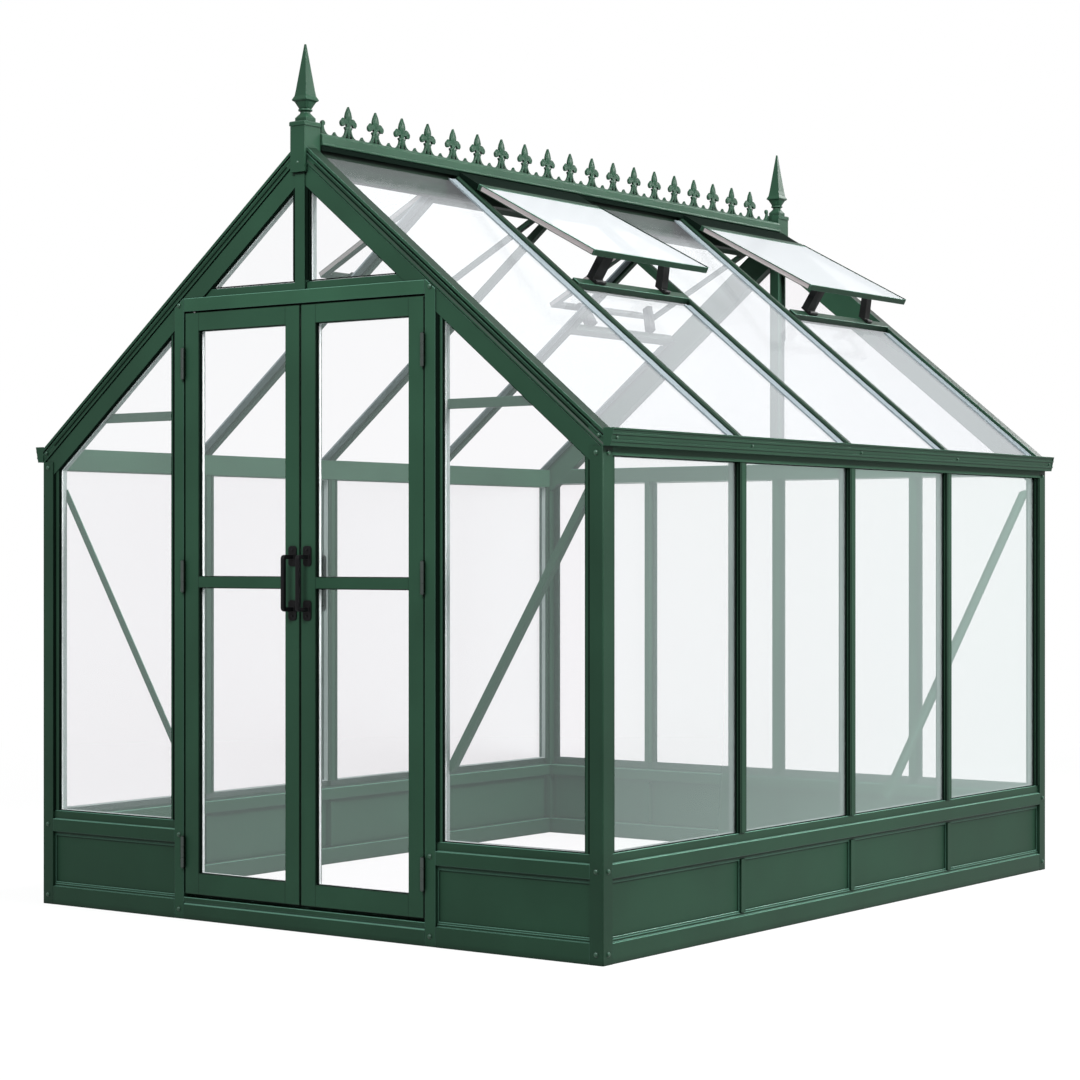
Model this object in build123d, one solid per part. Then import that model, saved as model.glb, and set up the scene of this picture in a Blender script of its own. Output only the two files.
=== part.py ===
"""Victorian glass greenhouse: painted aluminium frame on a panelled dwarf wall, double doors,
ridge cresting, two finials and four roof vents propped open.

Frame: X across the front, Y from the front (negative) to the rear, Z up, origin on the
ground under the middle of the house. Millimetres.
"""
import os
from math import atan, cos, radians, sin

from build123d import *

# ---- overall size -------------------------------------------------------------------------
WIDTH = 2440
DEPTH = 3050
HALF_W = WIDTH / 2
HALF_D = DEPTH / 2
POST = 50                # side of the corner posts and depth of every wall section
POST_TOP = 1573          # the gutters' underside
RIDGE_Z = 2610           # where the two roof planes would meet
ROOF_RISE = 0.81         # rise over run of both slopes
BAY_LINE = 720           # glazing bars stand on the middle line and this far either side

# ---- dwarf wall ---------------------------------------------------------------------------
BASE_H = 65
PANEL_TOP = 260
DWARF_TOP = 305
GLAZING_FOOT = 335       # top of the recessed glazing strip that the panes stand in
PANEL_DEPTH = 16         # how far the panel's face lies behind the frame's face
PANEL_T = 4
BEAD_H = 10              # bead that holds each panel, standing into the opening
BEAD_DEPTH = 9

# ---- glazing ------------------------------------------------------------------------------
GLASS_T = 4
GLASS_DEPTH = 17         # outer face of the wall glass behind the frame's face
NIB_DEPTH = 8            # reveal in front of the glazing nibs
NIB_T = 8
NIB_W = 22
FIT = 1                  # clearance round a pane

# ---- bars ---------------------------------------------------------------------------------
BAR_W = 24
BAR_NIB = 14
BAR_FACE = 3             # outer face of a bar behind the posts' faces
BAR_ROUND = 2
BAR_DEPTH = 46
STUD_W = 24              # short stud between two dwarf panels
STUD_FACE = 4
REAR_STUD_X = 650
TIE_BOTTOM = 1560
TIE_TOP = 1625
STIFF_Z = (1706, 1738)   # flat rail across the front glass beside the doors
STIFF_DEPTH = (34, 48)
BRACE_W = 26
BRACE_T = 4

# ---- roof ---------------------------------------------------------------------------------
ROOF_BAR_W = 26
ROOF_BAR_H = 30
ROOF_GLASS_N = -18       # upper face of the roof glass below the roof plane
RAFTER_H = 104           # depth of the gable rafters, square to the slope
RAFTER_RIB = 44          # ribbed upper part of a rafter; the flat band below it is set back
LAP = 4                  # set-back of the flat band, and thickness of what laps over it
EAVES_FOOT = 1546
GUTTER_TOP = 1628
GUTTER_OUT = 38
GUTTER_FOOT = 26         # the trough is narrower at the foot than at the lip
GUTTER_BACK = 42
GUTTER_T = 3
GUTTER_END = 4
RIDGE_BEAM_W = 40
RIDGE_BEAM_BOTTOM = 2500
CAP_W = 84
CAP_BOTTOM = 2598
CAP_TOP = 2640
CAP_LIP = 2              # rounded lip along both lower edges
CAP_LIP_H = 6
CAP_SHOULDER = 2630      # the cap's sides are upright to here, then it is crowned
SIDE_RAIL_IN = 22
SIDE_RAIL_OUT = 38
SIDE_RAIL_FOOT = 108     # over the vents the rails widen to meet the vents' heads
SIDE_RAIL_NOSE = 119
SIDE_RAIL_H = 24

# ---- doorway ------------------------------------------------------------------------------
DOOR_HALF = 528          # half of the clear opening between the jambs
JAMB_W = 43
HEADER_BOTTOM = 2073
HEADER_TOP = 2118
GABLE_RAIL_TOP = 2143    # set-back rail that the gable panes stand on
GABLE_RAIL_BACK = 12
KING_POST_W = 42
SILL_TOP = 76
LEAF_BOTTOM = 88
LEAF_TOP = 2067
LEAF_T = 34
LEAF_GAP = 6             # between a leaf and its jamb
MEETING_GAP = 8          # between the two leaves
STILE = 62
LEAF_TOP_RAIL = 62
LEAF_BOTTOM_RAIL = 72
MID_RAIL = (1132, 1170)
LEAF_GLASS_DEPTH = 14
STOP_BEHIND = 5.5        # air between a shut leaf and the stops behind it
STOP_COVER = 12          # how far the stops stand into the doorway
SILL_LIP = (52, 60)      # rounded line along the sill's face

# ---- hinges and handles -------------------------------------------------------------------
HINGE_Z = (230, 1170, 1895)
HINGE_LEN = 104
HINGE_R = 7
PIN_R = 3
PIN_CLEARANCE = 0.15
KNUCKLE_GAP = 1
HINGE_OUT = 7.5            # pin line in front of the wall's face
FLAP_T = 2
HANDLE_Z = 1150
HANDLE_LEN = 187
HANDLE_OUT = 54
HANDLE_BAR = 14
HANDLE_BEND = 12         # outer radius of the grip's corners
HANDLE_X = 32            # handle line from the middle of the doorway
PLATE_W = 36
PLATE_T = 4
PLATE_ABOVE = 29         # a plate reaches past the end of the grip and back along it
PLATE_BELOW = 37
PLATE_ROUND = 12
BARREL_SIDES = 16

# ---- ridge ornament -----------------------------------------------------------------------
CREST_COUNT = 19
CREST_T = 9
CREST_STRIP = 6          # plain strip between a finial block and the first half foot
CREST_PLAIN = 33
CUSP_H = 19              # pointed cusp half way between two fleurs-de-lis
STRUT_HOLLOW = (46, 36)  # centre of the hollow between a cusp and the flared foot
STRUT_RADIUS = 32
CURL_CENTRE = (30, 55)
CURL_R = 11.5
END_BALL = (12, 42)      # centre of the ball on the half foot at either end
END_BALL_R = 9
SPEAR_H = 113
BLOCK_W = 62
BLOCK_DEPTH = 80
BLOCK_PROUD = 12         # the finial block stands in front of the rafters
BLOCK_BOTTOM = 2504
BLOCK_LIP_BOTTOM = 2657
BLOCK_TOP = 2672
BLOCK_LIP = 2.5
PLINTH_W = 48
PLINTH_TOP = 13          # heights above the block's top
NECK_FOOT = 29
CUP_FOOT = 44
CUP_TOP = 66
FLANGE = 72
SPIRE_FOOT = 104
FLANGE_W = 63
SPIRE_W = 45
FINIAL_TIP = 2930

# ---- roof vents ---------------------------------------------------------------------------
VENT_OPEN = 11           # degrees off the slope
VENT_HEAD_S = 140        # hinge line, measured down the slope from the ridge
VENT_LEN = 565
VENT_LIFT = 8            # underside of the vent frame above the roof plane at the hinge
VENT_HEAD_BAR = 40
VENT_BAR = 26
VENT_T = 22
VENT_REBATE = 5          # glass and its seat at the edge of a vent
CILL_W = 34
CILL_RISE = 6
STAY_BAR = 24
STAY_FOOT = 5
STAY_ROLL = 7            # radius of the rolled end at the foot
FRONT_STAY_W = 60
REAR_STAY_W = 38
FRONT_STAY_AT = 0.2      # place of the stays along the vent
REAR_STAY_AT = 0.78

PITCH = atan(ROOF_RISE)
SIN = sin(PITCH)
COS = cos(PITCH)
FRONT = -HALF_D
REAR = HALF_D
LEAF_INNER = MEETING_GAP / 2
LEAF_OUTER = DOOR_HALF - LEAF_GAP
BLOCK_IN = HALF_D + BLOCK_PROUD - BLOCK_DEPTH
CREST_END = BLOCK_IN - FIT
FLEUR_END = CREST_END - CREST_PLAIN
CREST_PITCH = 2 * FLEUR_END / (CREST_COUNT + 1)
LEAF_FACE = FRONT + 2
LEAF_BACK = LEAF_FACE + LEAF_T
STOP_FACE = LEAF_BACK + STOP_BEHIND


# ---- building helpers ---------------------------------------------------------------------
def face_of(points):
    """Flat face inside a closed run of points."""
    return make_face(Polyline(*points, close=True))


def along_x(points, x0, x1):
    """Profile in (y, z) run from x0 to x1."""
    plane = Plane(origin=(x0, 0, 0), x_dir=(0, 1, 0), z_dir=(1, 0, 0))
    return extrude(plane * face_of(points), x1 - x0)


def along_y(points, y0, y1):
    """Profile in (x, z) run from y0 to y1."""
    plane = Plane(origin=(0, y1, 0), x_dir=(1, 0, 0), z_dir=(0, -1, 0))
    return extrude(plane * face_of(points), y1 - y0)


def along_z(points, z0, z1):
    """Profile in (x, y) run from z0 to z1."""
    return extrude(Plane.XY.offset(z0) * face_of(points), z1 - z0)


def block(x0, x1, y0, y1, z0, z1):
    """Square-cut piece between two corners."""
    return Pos((x0 + x1) / 2, (y0 + y1) / 2, (z0 + z1) / 2) * Box(x1 - x0, y1 - y0, z1 - z0)


def down_slope(points, s0, s1):
    """Profile in (y, n) run down the right-hand slope, n square to the roof plane."""
    origin = Vector(0, 0, RIDGE_Z) + Vector(COS, 0, -SIN) * s0
    plane = Plane(origin=origin, x_dir=(0, 1, 0), z_dir=(COS, 0, -SIN))
    return extrude(plane * face_of(points), s1 - s0)


def roof_z(x, below=0):
    """Height of the roof plane at x, or of a plane lying below it square to the slope."""
    return RIDGE_Z - below / COS - ROOF_RISE * abs(x)


def across(shape):
    """The same piece on the other side of the middle line."""
    return mirror(shape, about=Plane.YZ)


def pair(shapes):
    """Every piece and its opposite number across the middle line."""
    return list(shapes) + [across(s) for s in shapes]


def to_rear(shape):
    """The same piece at the other end of the house."""
    return mirror(shape, about=Plane.XZ)


os.makedirs("parts", exist_ok=True)


def save(name, shapes):
    """One STEP file for one named node."""
    solids = [solid for shape in shapes for solid in shape.solids()]
    export_step(solids[0] if len(solids) == 1 else Compound(children=solids), f"parts/{name}.step")


# ---- corner posts -------------------------------------------------------------------------
def corner_post():
    """Square post with a rounded outer corner and a glazing nib towards each wall."""
    inner = HALF_W - POST
    rear_face = FRONT + POST
    post = block(inner, HALF_W, FRONT, rear_face, 0, POST_TOP)
    corner = post.edges().filter_by(Axis.Z).sort_by_distance((HALF_W, FRONT, POST_TOP / 2))[0]
    post = fillet(corner, 4)
    side_nib = block(HALF_W - NIB_DEPTH - NIB_T, HALF_W - NIB_DEPTH, rear_face, rear_face + NIB_W,
                     GLAZING_FOOT, EAVES_FOOT)
    nib_x = inner - NIB_W
    front_nib = along_y([
        (nib_x, GLAZING_FOOT), (inner, GLAZING_FOOT), (inner, roof_z(inner, RAFTER_H)),
        (nib_x, roof_z(nib_x, RAFTER_H))], FRONT + NIB_DEPTH, FRONT + NIB_DEPTH + NIB_T)
    return post + side_nib + front_nib


front_posts = pair([corner_post()])
save("corner_posts", front_posts + [to_rear(post) for post in front_posts])


# ---- dwarf wall ---------------------------------------------------------------------------
def base_profile():
    """Base rail section as (depth behind the face, z), with the panel bead on top."""
    return [(0, 0), (POST, 0), (POST, BASE_H), (BEAD_DEPTH + 6, BASE_H),
            (BEAD_DEPTH + 6, BASE_H + BEAD_H), (BEAD_DEPTH, BASE_H + BEAD_H),
            (BEAD_DEPTH, BASE_H), (0, BASE_H)]


def dwarf_profile():
    """Dwarf-wall top rail: panel bead below, set-back glazing strip above."""
    return [(0, PANEL_TOP), (BEAD_DEPTH, PANEL_TOP), (BEAD_DEPTH, PANEL_TOP - BEAD_H),
            (BEAD_DEPTH + 6, PANEL_TOP - BEAD_H), (BEAD_DEPTH + 6, PANEL_TOP), (POST, PANEL_TOP),
            (POST, DWARF_TOP), (NIB_DEPTH + NIB_T, DWARF_TOP), (NIB_DEPTH + NIB_T, GLAZING_FOOT),
            (NIB_DEPTH, GLAZING_FOOT), (NIB_DEPTH, DWARF_TOP), (0, DWARF_TOP)]


def front_rail(profile, x0, x1):
    return along_x([(FRONT + d, z) for d, z in profile], x0, x1)


def side_rail(profile):
    return along_y([(HALF_W - d, z) for d, z in profile], FRONT + POST, REAR - POST)


jamb_outer = DOOR_HALF + JAMB_W
post_inner = HALF_W - POST
save("front_base_rails", pair([front_rail(base_profile(), jamb_outer, post_inner)]))
save("side_base_rails", pair([side_rail(base_profile())]))
save("rear_base_rail", [to_rear(front_rail(base_profile(), -post_inner, post_inner))])
save("front_dwarf_rails", pair([front_rail(dwarf_profile(), jamb_outer, post_inner)]))
save("side_dwarf_rails", pair([side_rail(dwarf_profile())]))
save("rear_dwarf_rail", [to_rear(front_rail(dwarf_profile(), -post_inner, post_inner))])

SIDE_LINES = (FRONT + POST, -BAY_LINE, 0, BAY_LINE, REAR - POST)
REAR_STUDS = (-REAR_STUD_X, 0, REAR_STUD_X)
REAR_LINES = (-post_inner,) + REAR_STUDS + (post_inner,)
panel_in = PANEL_DEPTH + PANEL_T


def bays(lines, half_bar):
    """Clear spans between neighbouring members; the end members are already at their faces."""
    spans = []
    for index in range(len(lines) - 1):
        low = lines[index] + (half_bar if index > 0 else 0) + FIT
        high = lines[index + 1] - (half_bar if index < len(lines) - 2 else 0) - FIT
        spans.append((low, high))
    return spans


side_panels = [
    block(HALF_W - panel_in, HALF_W - PANEL_DEPTH, low, high, BASE_H, PANEL_TOP)
    for low, high in bays(SIDE_LINES, STUD_W / 2)
]
save("side_dwarf_panels", pair(side_panels))
save("front_dwarf_panels", pair([
    block(jamb_outer + FIT, post_inner - FIT, FRONT + PANEL_DEPTH, FRONT + panel_in, BASE_H, PANEL_TOP)
]))
save("rear_dwarf_panels", [
    block(low, high, REAR - panel_in, REAR - PANEL_DEPTH, BASE_H, PANEL_TOP)
    for low, high in bays(REAR_LINES, STUD_W / 2)
])


# ---- wall bars ----------------------------------------------------------------------------
def bar_profile():
    """Glazing bar section as (along the wall, depth), with a nib to each side."""
    half = BAR_W / 2
    shoulder = BAR_FACE + BAR_ROUND
    back = NIB_DEPTH + NIB_T
    return [(-half + BAR_ROUND, BAR_FACE), (-half, shoulder), (-half, NIB_DEPTH),
            (-half - BAR_NIB, NIB_DEPTH), (-half - BAR_NIB, back), (-half, back), (-half, BAR_DEPTH),
            (half, BAR_DEPTH), (half, back), (half + BAR_NIB, back), (half + BAR_NIB, NIB_DEPTH),
            (half, NIB_DEPTH), (half, shoulder), (half - BAR_ROUND, BAR_FACE)]


def dwarf_stud_profile():
    half = STUD_W / 2
    return [(-half, STUD_FACE), (-half, BAR_DEPTH), (half, BAR_DEPTH), (half, STUD_FACE)]


side_bars = []
for y in SIDE_LINES[1:-1]:
    side_bars.append(along_z([(HALF_W - d, y + a) for a, d in bar_profile()], GLAZING_FOOT, EAVES_FOOT))
    side_bars.append(along_z([(HALF_W - d, y + a) for a, d in dwarf_stud_profile()],
                             BASE_H + BEAD_H, PANEL_TOP - BEAD_H))
save("side_wall_bars", pair(side_bars))

rear_bars = []
for x in REAR_STUDS:
    rear_bars.append(along_z([(x + a, REAR - d) for a, d in bar_profile()], GLAZING_FOOT, TIE_BOTTOM))
    rear_bars.append(along_z([(x + a, REAR - d) for a, d in dwarf_stud_profile()],
                             BASE_H + BEAD_H, PANEL_TOP - BEAD_H))
save("rear_wall_studs", rear_bars)

# ---- eaves --------------------------------------------------------------------------------
eaves = along_y([
    (post_inner, EAVES_FOOT), (HALF_W, EAVES_FOOT),
    (HALF_W, roof_z(HALF_W, ROOF_BAR_H)), (post_inner, roof_z(post_inner, ROOF_BAR_H)),
], FRONT + POST, REAR - POST)
save("eaves_beams", pair([eaves]))


def gutter():
    """Open channel outside the eaves, wider at the lip, ribbed along its face, capped both ends."""
    foot = HALF_W + GUTTER_FOOT
    lip = HALF_W + GUTTER_OUT
    rib = GUTTER_T
    depth = GUTTER_TOP - POST_TOP
    ribs = []
    for level, out in ((0.0, 0), (0.22, 0), (0.22, rib), (0.34, rib), (0.34, 0), (0.62, 0),
                       (0.62, rib), (0.74, rib), (0.74, 0), (0.9, 0), (0.9, rib), (1.0, rib)):
        ribs.append((foot + (lip - rib - foot) * level + out, POST_TOP + depth * level))
    channel = along_y(
        [(HALF_W, POST_TOP)] + ribs + [
            (lip - rib - GUTTER_T, GUTTER_TOP), (foot - GUTTER_T, POST_TOP + GUTTER_T),
            (HALF_W + GUTTER_T, POST_TOP + GUTTER_T), (HALF_W + GUTTER_T, POST_TOP + GUTTER_BACK),
            (HALF_W, POST_TOP + GUTTER_BACK)],
        FRONT, REAR)
    cap = along_y([(HALF_W, POST_TOP), (foot, POST_TOP), (lip, GUTTER_TOP), (HALF_W, GUTTER_TOP)],
                  FRONT, FRONT + GUTTER_END)
    return channel + cap + to_rear(cap)


save("gutters", pair([gutter()]))


# ---- gable rafters ------------------------------------------------------------------------
def rafter():
    """Gable rafter: ribbed barge along the top, flat band below it, cut to post and king post."""
    profile = [(FRONT + d, -n) for d, n in (
        (0, 0), (POST, 0), (POST, RAFTER_H), (LAP, RAFTER_H), (LAP, RAFTER_RIB + 2),
        (LAP + 4, RAFTER_RIB + 2), (LAP + 4, RAFTER_RIB - 2), (0, RAFTER_RIB - 2), (0, 37),
        (3, 32), (3, 24), (0, 19), (0, 16), (7, 14), (7, 10), (0, 9))]
    run = down_slope(profile, -100, HALF_W / COS + 200)
    low_z = EAVES_FOOT - 200
    keep = along_y([
        (BLOCK_W / 2, RIDGE_Z + 50), (BLOCK_W / 2, BLOCK_BOTTOM), (KING_POST_W / 2, BLOCK_BOTTOM),
        (KING_POST_W / 2, low_z), (post_inner, low_z), (post_inner, POST_TOP),
        (HALF_W, POST_TOP), (HALF_W, RIDGE_Z + 50)], FRONT - 1, FRONT + POST + 1)
    return run & keep


doorway_clear = block(0, DOOR_HALF, FRONT, FRONT + POST, 0, HEADER_BOTTOM)
save("gable_rafters", pair([rafter() - doorway_clear]) + [to_rear(piece) for piece in pair([rafter()])])


# ---- roof bars ----------------------------------------------------------------------------
def vent_bays():
    """Span along the ridge of the two vents of a slope, over the bars at both sides."""
    return [(SIDE_LINES[1], SIDE_LINES[2] - LAP), (SIDE_LINES[3], SIDE_LINES[4] + ROOF_BAR_W / 2 - LAP)]


def roof_bar(y):
    """Roof glazing bar: rounded cap over the glass, web and inner flange under it."""
    half = ROOF_BAR_W / 2
    profile = [(y + a, n) for a, n in (
        (-half + 4, 0), (-half, -4), (-half, -ROOF_BAR_H), (half, -ROOF_BAR_H), (half, -4), (half - 4, 0))]
    run = down_slope(profile, 0, HALF_W / COS + 100)
    keep = block(RIDGE_BEAM_W / 2, HALF_W - 2, y - BAR_W, y + BAR_W, EAVES_FOOT, RIDGE_Z + 50)
    return run & keep


save("roof_bars", pair([roof_bar(y) for y in SIDE_LINES[1:-1]]))

# ---- ridge --------------------------------------------------------------------------------
save("ridge_beam", [block(-RIDGE_BEAM_W / 2, RIDGE_BEAM_W / 2, -BLOCK_IN, BLOCK_IN,
                          RIDGE_BEAM_BOTTOM, CAP_BOTTOM)])
cap_half = CAP_W / 2
flank = cap_half - CAP_LIP
cap_side = [(flank, CAP_BOTTOM), (cap_half, CAP_BOTTOM + CAP_LIP), (cap_half, CAP_BOTTOM + CAP_LIP_H),
            (flank, CAP_BOTTOM + CAP_LIP_H + CAP_LIP), (flank, CAP_SHOULDER), (flank - 4, CAP_SHOULDER + 5),
            (flank - 14, CAP_TOP)]
save("ridge_cap", [along_y(cap_side + [(-x, z) for x, z in reversed(cap_side)], -BLOCK_IN, BLOCK_IN)])


def side_rail_under_cap():
    """Sealing rail between the cap and the slope, widened over the two vents."""
    rail = along_y([
        (SIDE_RAIL_IN, roof_z(SIDE_RAIL_IN) + FIT), (SIDE_RAIL_OUT, roof_z(SIDE_RAIL_OUT) + FIT),
        (SIDE_RAIL_OUT, CAP_BOTTOM), (SIDE_RAIL_IN, CAP_BOTTOM)], -BLOCK_IN, BLOCK_IN)
    foot_z = roof_z(SIDE_RAIL_FOOT) + FIT
    inner = BLOCK_W / 2 + FIT
    for low, high in vent_bays():
        rail = rail + along_y([
            (inner, roof_z(inner) + FIT), (SIDE_RAIL_FOOT, foot_z), (SIDE_RAIL_NOSE, foot_z + SIDE_RAIL_H),
            (SIDE_RAIL_OUT, CAP_BOTTOM - CAP_LIP), (inner, CAP_BOTTOM - CAP_LIP)], low, high)
    return rail


save("ridge_side_rails", pair([side_rail_under_cap()]))


# ---- ridge cresting -----------------------------------------------------------------------
def arc(centre, radius, start, end, steps):
    """Points along an arc, angles in degrees from the strip's own direction."""
    angles = [radians(start + (end - start) * step / steps) for step in range(steps + 1)]
    return [(centre[0] + radius * cos(a), centre[1] + radius * sin(a)) for a in angles]


def hollow():
    """Cusp, hollow and flared strut, running in towards the middle of a fleur-de-lis."""
    return [(CREST_PITCH / 2, CUSP_H)] + arc(STRUT_HOLLOW, STRUT_RADIUS, -58, -176, 7)


def fleur_side():
    """Right half of one fleur-de-lis from the cusp beside it to the tip of its spear."""
    collar = [(18, 37), (18, 43), (9, 45), (12, 52)]
    curl = arc(CURL_CENTRE, CURL_R, 195, 480, 8)
    spear = [(15, 69), (16, 79), (12, 92), (0, SPEAR_H)]
    return hollow() + collar + curl + spear


def end_curl():
    """Half foot with a ball on it, where the strip meets a finial block."""
    return hollow() + arc(END_BALL, END_BALL_R, -60, 200, 8) + [(2, CREST_STRIP)]


def cresting():
    """Cast strip along the ridge cap, one fleur-de-lis to each pitch, windowed beside each stem."""
    right_end = [(FLEUR_END - u, v) for u, v in reversed(end_curl())]
    outline = [(-CREST_END, 0), (CREST_END, 0), (CREST_END, CREST_STRIP)] + right_end
    windows = []
    for index in range(CREST_COUNT):
        middle = FLEUR_END - (index + 1) * CREST_PITCH
        side = fleur_side()
        outline += [(middle + u, v) for u, v in side[1:]]
        outline += [(middle - u, v) for u, v in reversed(side[:-1])]
        for hand in (-1, 1):
            windows.append([(middle + hand * u, v) for u, v in ((6, 5), (16, 5), (8, 26))])
    outline += [(-FLEUR_END + u, v) for u, v in end_curl()[1:]] + [(-CREST_END, CREST_STRIP)]
    face = Face(Wire.make_polygon(outline), [Wire.make_polygon(window) for window in windows])
    plane = Plane(origin=(CREST_T / 2, 0, CAP_TOP), x_dir=(0, 1, 0), z_dir=(1, 0, 0))
    return extrude(plane * face, -CREST_T)


save("ridge_cresting", [cresting()])


# ---- finials ------------------------------------------------------------------------------
def finial():
    """Square block over the king post, turned base, neck and collar, flanged four-sided spire."""
    middle_y = -BLOCK_IN - BLOCK_DEPTH / 2
    half = BLOCK_W / 2
    body = block(-half, half, -BLOCK_IN - BLOCK_DEPTH, -BLOCK_IN, BLOCK_BOTTOM, BLOCK_LIP_BOTTOM)
    lip = block(-half - BLOCK_LIP, half + BLOCK_LIP, -BLOCK_IN - BLOCK_DEPTH - BLOCK_LIP, -BLOCK_IN,
                BLOCK_LIP_BOTTOM, BLOCK_TOP)
    lip = chamfer(lip.edges().group_by(Axis.Z)[-1].sort_by(Axis.Y)[:-1], 3)
    top = Pos(0, middle_y, BLOCK_TOP)
    plinth = top * (Pos(0, 0, PLINTH_TOP / 2 - FIT) * Box(PLINTH_W, PLINTH_W, PLINTH_TOP + 2 * FIT))
    flare = top * loft([Plane.XY.offset(PLINTH_TOP) * Rectangle(PLINTH_W, PLINTH_W),
                        Plane.XY.offset(NECK_FOOT) * RegularPolygon(17.5, 12)])
    neck = top * revolve(Plane.XZ * face_of([
        (0, NECK_FOOT - FIT), (17, NECK_FOOT - FIT), (17, 34), (23.5, 37), (23.5, 42), (20, CUP_FOOT),
        (0, CUP_FOOT)]), Axis.Z)
    cup = top * loft([Plane.XY.offset(CUP_FOOT) * RegularPolygon(21, 12),
                      Plane.XY.offset(CUP_TOP) * Rectangle(50, 50)])
    spire = top * loft([Plane.XY.offset(level) * Rectangle(side, side) for level, side in (
        (CUP_TOP, 50), (FLANGE - 1, FLANGE_W), (FLANGE + 2, FLANGE_W), (FLANGE + 14, 51),
        (SPIRE_FOOT, SPIRE_W), (FINIAL_TIP - BLOCK_TOP, 5))], ruled=True)
    return body + lip + plinth + flare + neck + cup + spire


save("finials", [finial(), to_rear(finial())])

# ---- doorway frame ------------------------------------------------------------------------
def below_rafter(low_z, rafter_n, x_low, x_high, y_low, y_high):
    """Space under a line parallel to the right-hand slope, for cutting members to the rafter."""
    return along_y([(x_low, low_z), (x_high, low_z), (x_high, roof_z(x_high, rafter_n)),
                    (x_low, roof_z(x_low, rafter_n))], y_low, y_high)


def jamb():
    """Door jamb with a glazing nib; its top laps over the rafter's flat band."""
    body = along_z([
        (DOOR_HALF, FRONT), (jamb_outer, FRONT), (jamb_outer, FRONT + POST), (DOOR_HALF, FRONT + POST)],
        0, HEADER_TOP)
    nib = block(jamb_outer, jamb_outer + NIB_W, FRONT + NIB_DEPTH, FRONT + NIB_DEPTH + NIB_T,
                GLAZING_FOOT, HEADER_TOP)
    stop = block(DOOR_HALF - STOP_COVER, DOOR_HALF, STOP_FACE, FRONT + POST, SILL_TOP, HEADER_BOTTOM)
    inner_part = (body + nib + stop) & below_rafter(0, RAFTER_H, DOOR_HALF - STOP_COVER, jamb_outer + NIB_W,
                                                    FRONT, FRONT + POST)
    tongue = body & below_rafter(HEADER_BOTTOM - 80, RAFTER_RIB + 3, DOOR_HALF, jamb_outer,
                                 FRONT, FRONT + LAP)
    return inner_part + tongue


def header():
    """Beam over the doors; its ends lap over the rafters like the jambs."""
    body = block(0, DOOR_HALF, FRONT, FRONT + POST, HEADER_BOTTOM, HEADER_TOP)
    inner_part = body & below_rafter(HEADER_BOTTOM - 200, RAFTER_H, 0, DOOR_HALF, FRONT, FRONT + POST)
    tongue = block(0, DOOR_HALF, FRONT, FRONT + LAP, HEADER_BOTTOM, HEADER_TOP)
    stop = block(0, DOOR_HALF - STOP_COVER - FIT, STOP_FACE, FRONT + POST,
                 HEADER_BOTTOM - STOP_COVER, HEADER_BOTTOM)
    half = inner_part + tongue + stop
    return half + across(half)


def gable_rail():
    """Set-back rail on the header that carries the two gable panes."""
    half = block(0, DOOR_HALF, FRONT + GABLE_RAIL_BACK, FRONT + POST, HEADER_TOP, GABLE_RAIL_TOP)
    half = half & below_rafter(HEADER_BOTTOM, RAFTER_H, 0, DOOR_HALF, FRONT, FRONT + POST)
    notch = block(-KING_POST_W / 2, KING_POST_W / 2, FRONT, FRONT + POST, HEADER_TOP, GABLE_RAIL_TOP)
    return [half - notch, across(half - notch)]


def king_post(bottom):
    """Post from the header or tie up to the ridge block, with a nib for each gable pane."""
    half = KING_POST_W / 2
    inner = NIB_DEPTH + NIB_T
    shaft = along_z([
        (-half, FRONT), (half, FRONT), (half, FRONT + NIB_DEPTH), (half + 10, FRONT + NIB_DEPTH),
        (half + 10, FRONT + inner), (half, FRONT + inner), (half, FRONT + POST),
        (-half, FRONT + POST), (-half, FRONT + inner), (-half - 10, FRONT + inner),
        (-half - 10, FRONT + NIB_DEPTH), (-half, FRONT + NIB_DEPTH)], bottom, BLOCK_BOTTOM)
    limit = along_y([
        (-half - 10, 0), (half + 10, 0), (half + 10, roof_z(half + 10, RAFTER_H)),
        (half, roof_z(half, RAFTER_H)), (half, BLOCK_BOTTOM), (-half, BLOCK_BOTTOM),
        (-half, roof_z(half, RAFTER_H)), (-half - 10, roof_z(half + 10, RAFTER_H))],
        FRONT, FRONT + POST)
    foot_clear = block(half, half + 10, FRONT, FRONT + POST, bottom, GABLE_RAIL_TOP)
    return (shaft & limit) - foot_clear - across(foot_clear)


save("door_jambs", pair([jamb()]))
save("door_header", [header()])
sill = along_x([
    (FRONT, 0), (FRONT + POST, 0), (FRONT + POST, SILL_TOP), (FRONT, SILL_TOP),
    (FRONT, SILL_LIP[1]), (FRONT + 3, SILL_LIP[1] - 2), (FRONT + 3, SILL_LIP[0] + 2), (FRONT, SILL_LIP[0])],
    -DOOR_HALF, DOOR_HALF)
stop_reach = DOOR_HALF - STOP_COVER - FIT
upstand = block(-stop_reach, stop_reach, STOP_FACE, FRONT + POST, SILL_TOP, LEAF_BOTTOM + STOP_COVER)
save("door_sill", [sill + upstand])

# ---- rear gable ---------------------------------------------------------------------------
save("rear_tie_beam", [block(-post_inner, post_inner, REAR - POST, REAR - NIB_DEPTH, TIE_BOTTOM, TIE_TOP)
                       & (below_rafter(0, RAFTER_H, 0, post_inner, REAR - POST, REAR)
                          + across(below_rafter(0, RAFTER_H, 0, post_inner, REAR - POST, REAR)))])
save("king_posts", [king_post(HEADER_TOP), to_rear(king_post(TIE_TOP))])

# ---- gable-wall stiffening rails ----------------------------------------------------------
stiff = block(jamb_outer, post_inner, FRONT + STIFF_DEPTH[0], FRONT + STIFF_DEPTH[1], *STIFF_Z)
stiff = stiff & below_rafter(0, RAFTER_H, jamb_outer, post_inner, FRONT, FRONT + POST)
save("gable_rails", gable_rail() + pair([stiff]))


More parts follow.
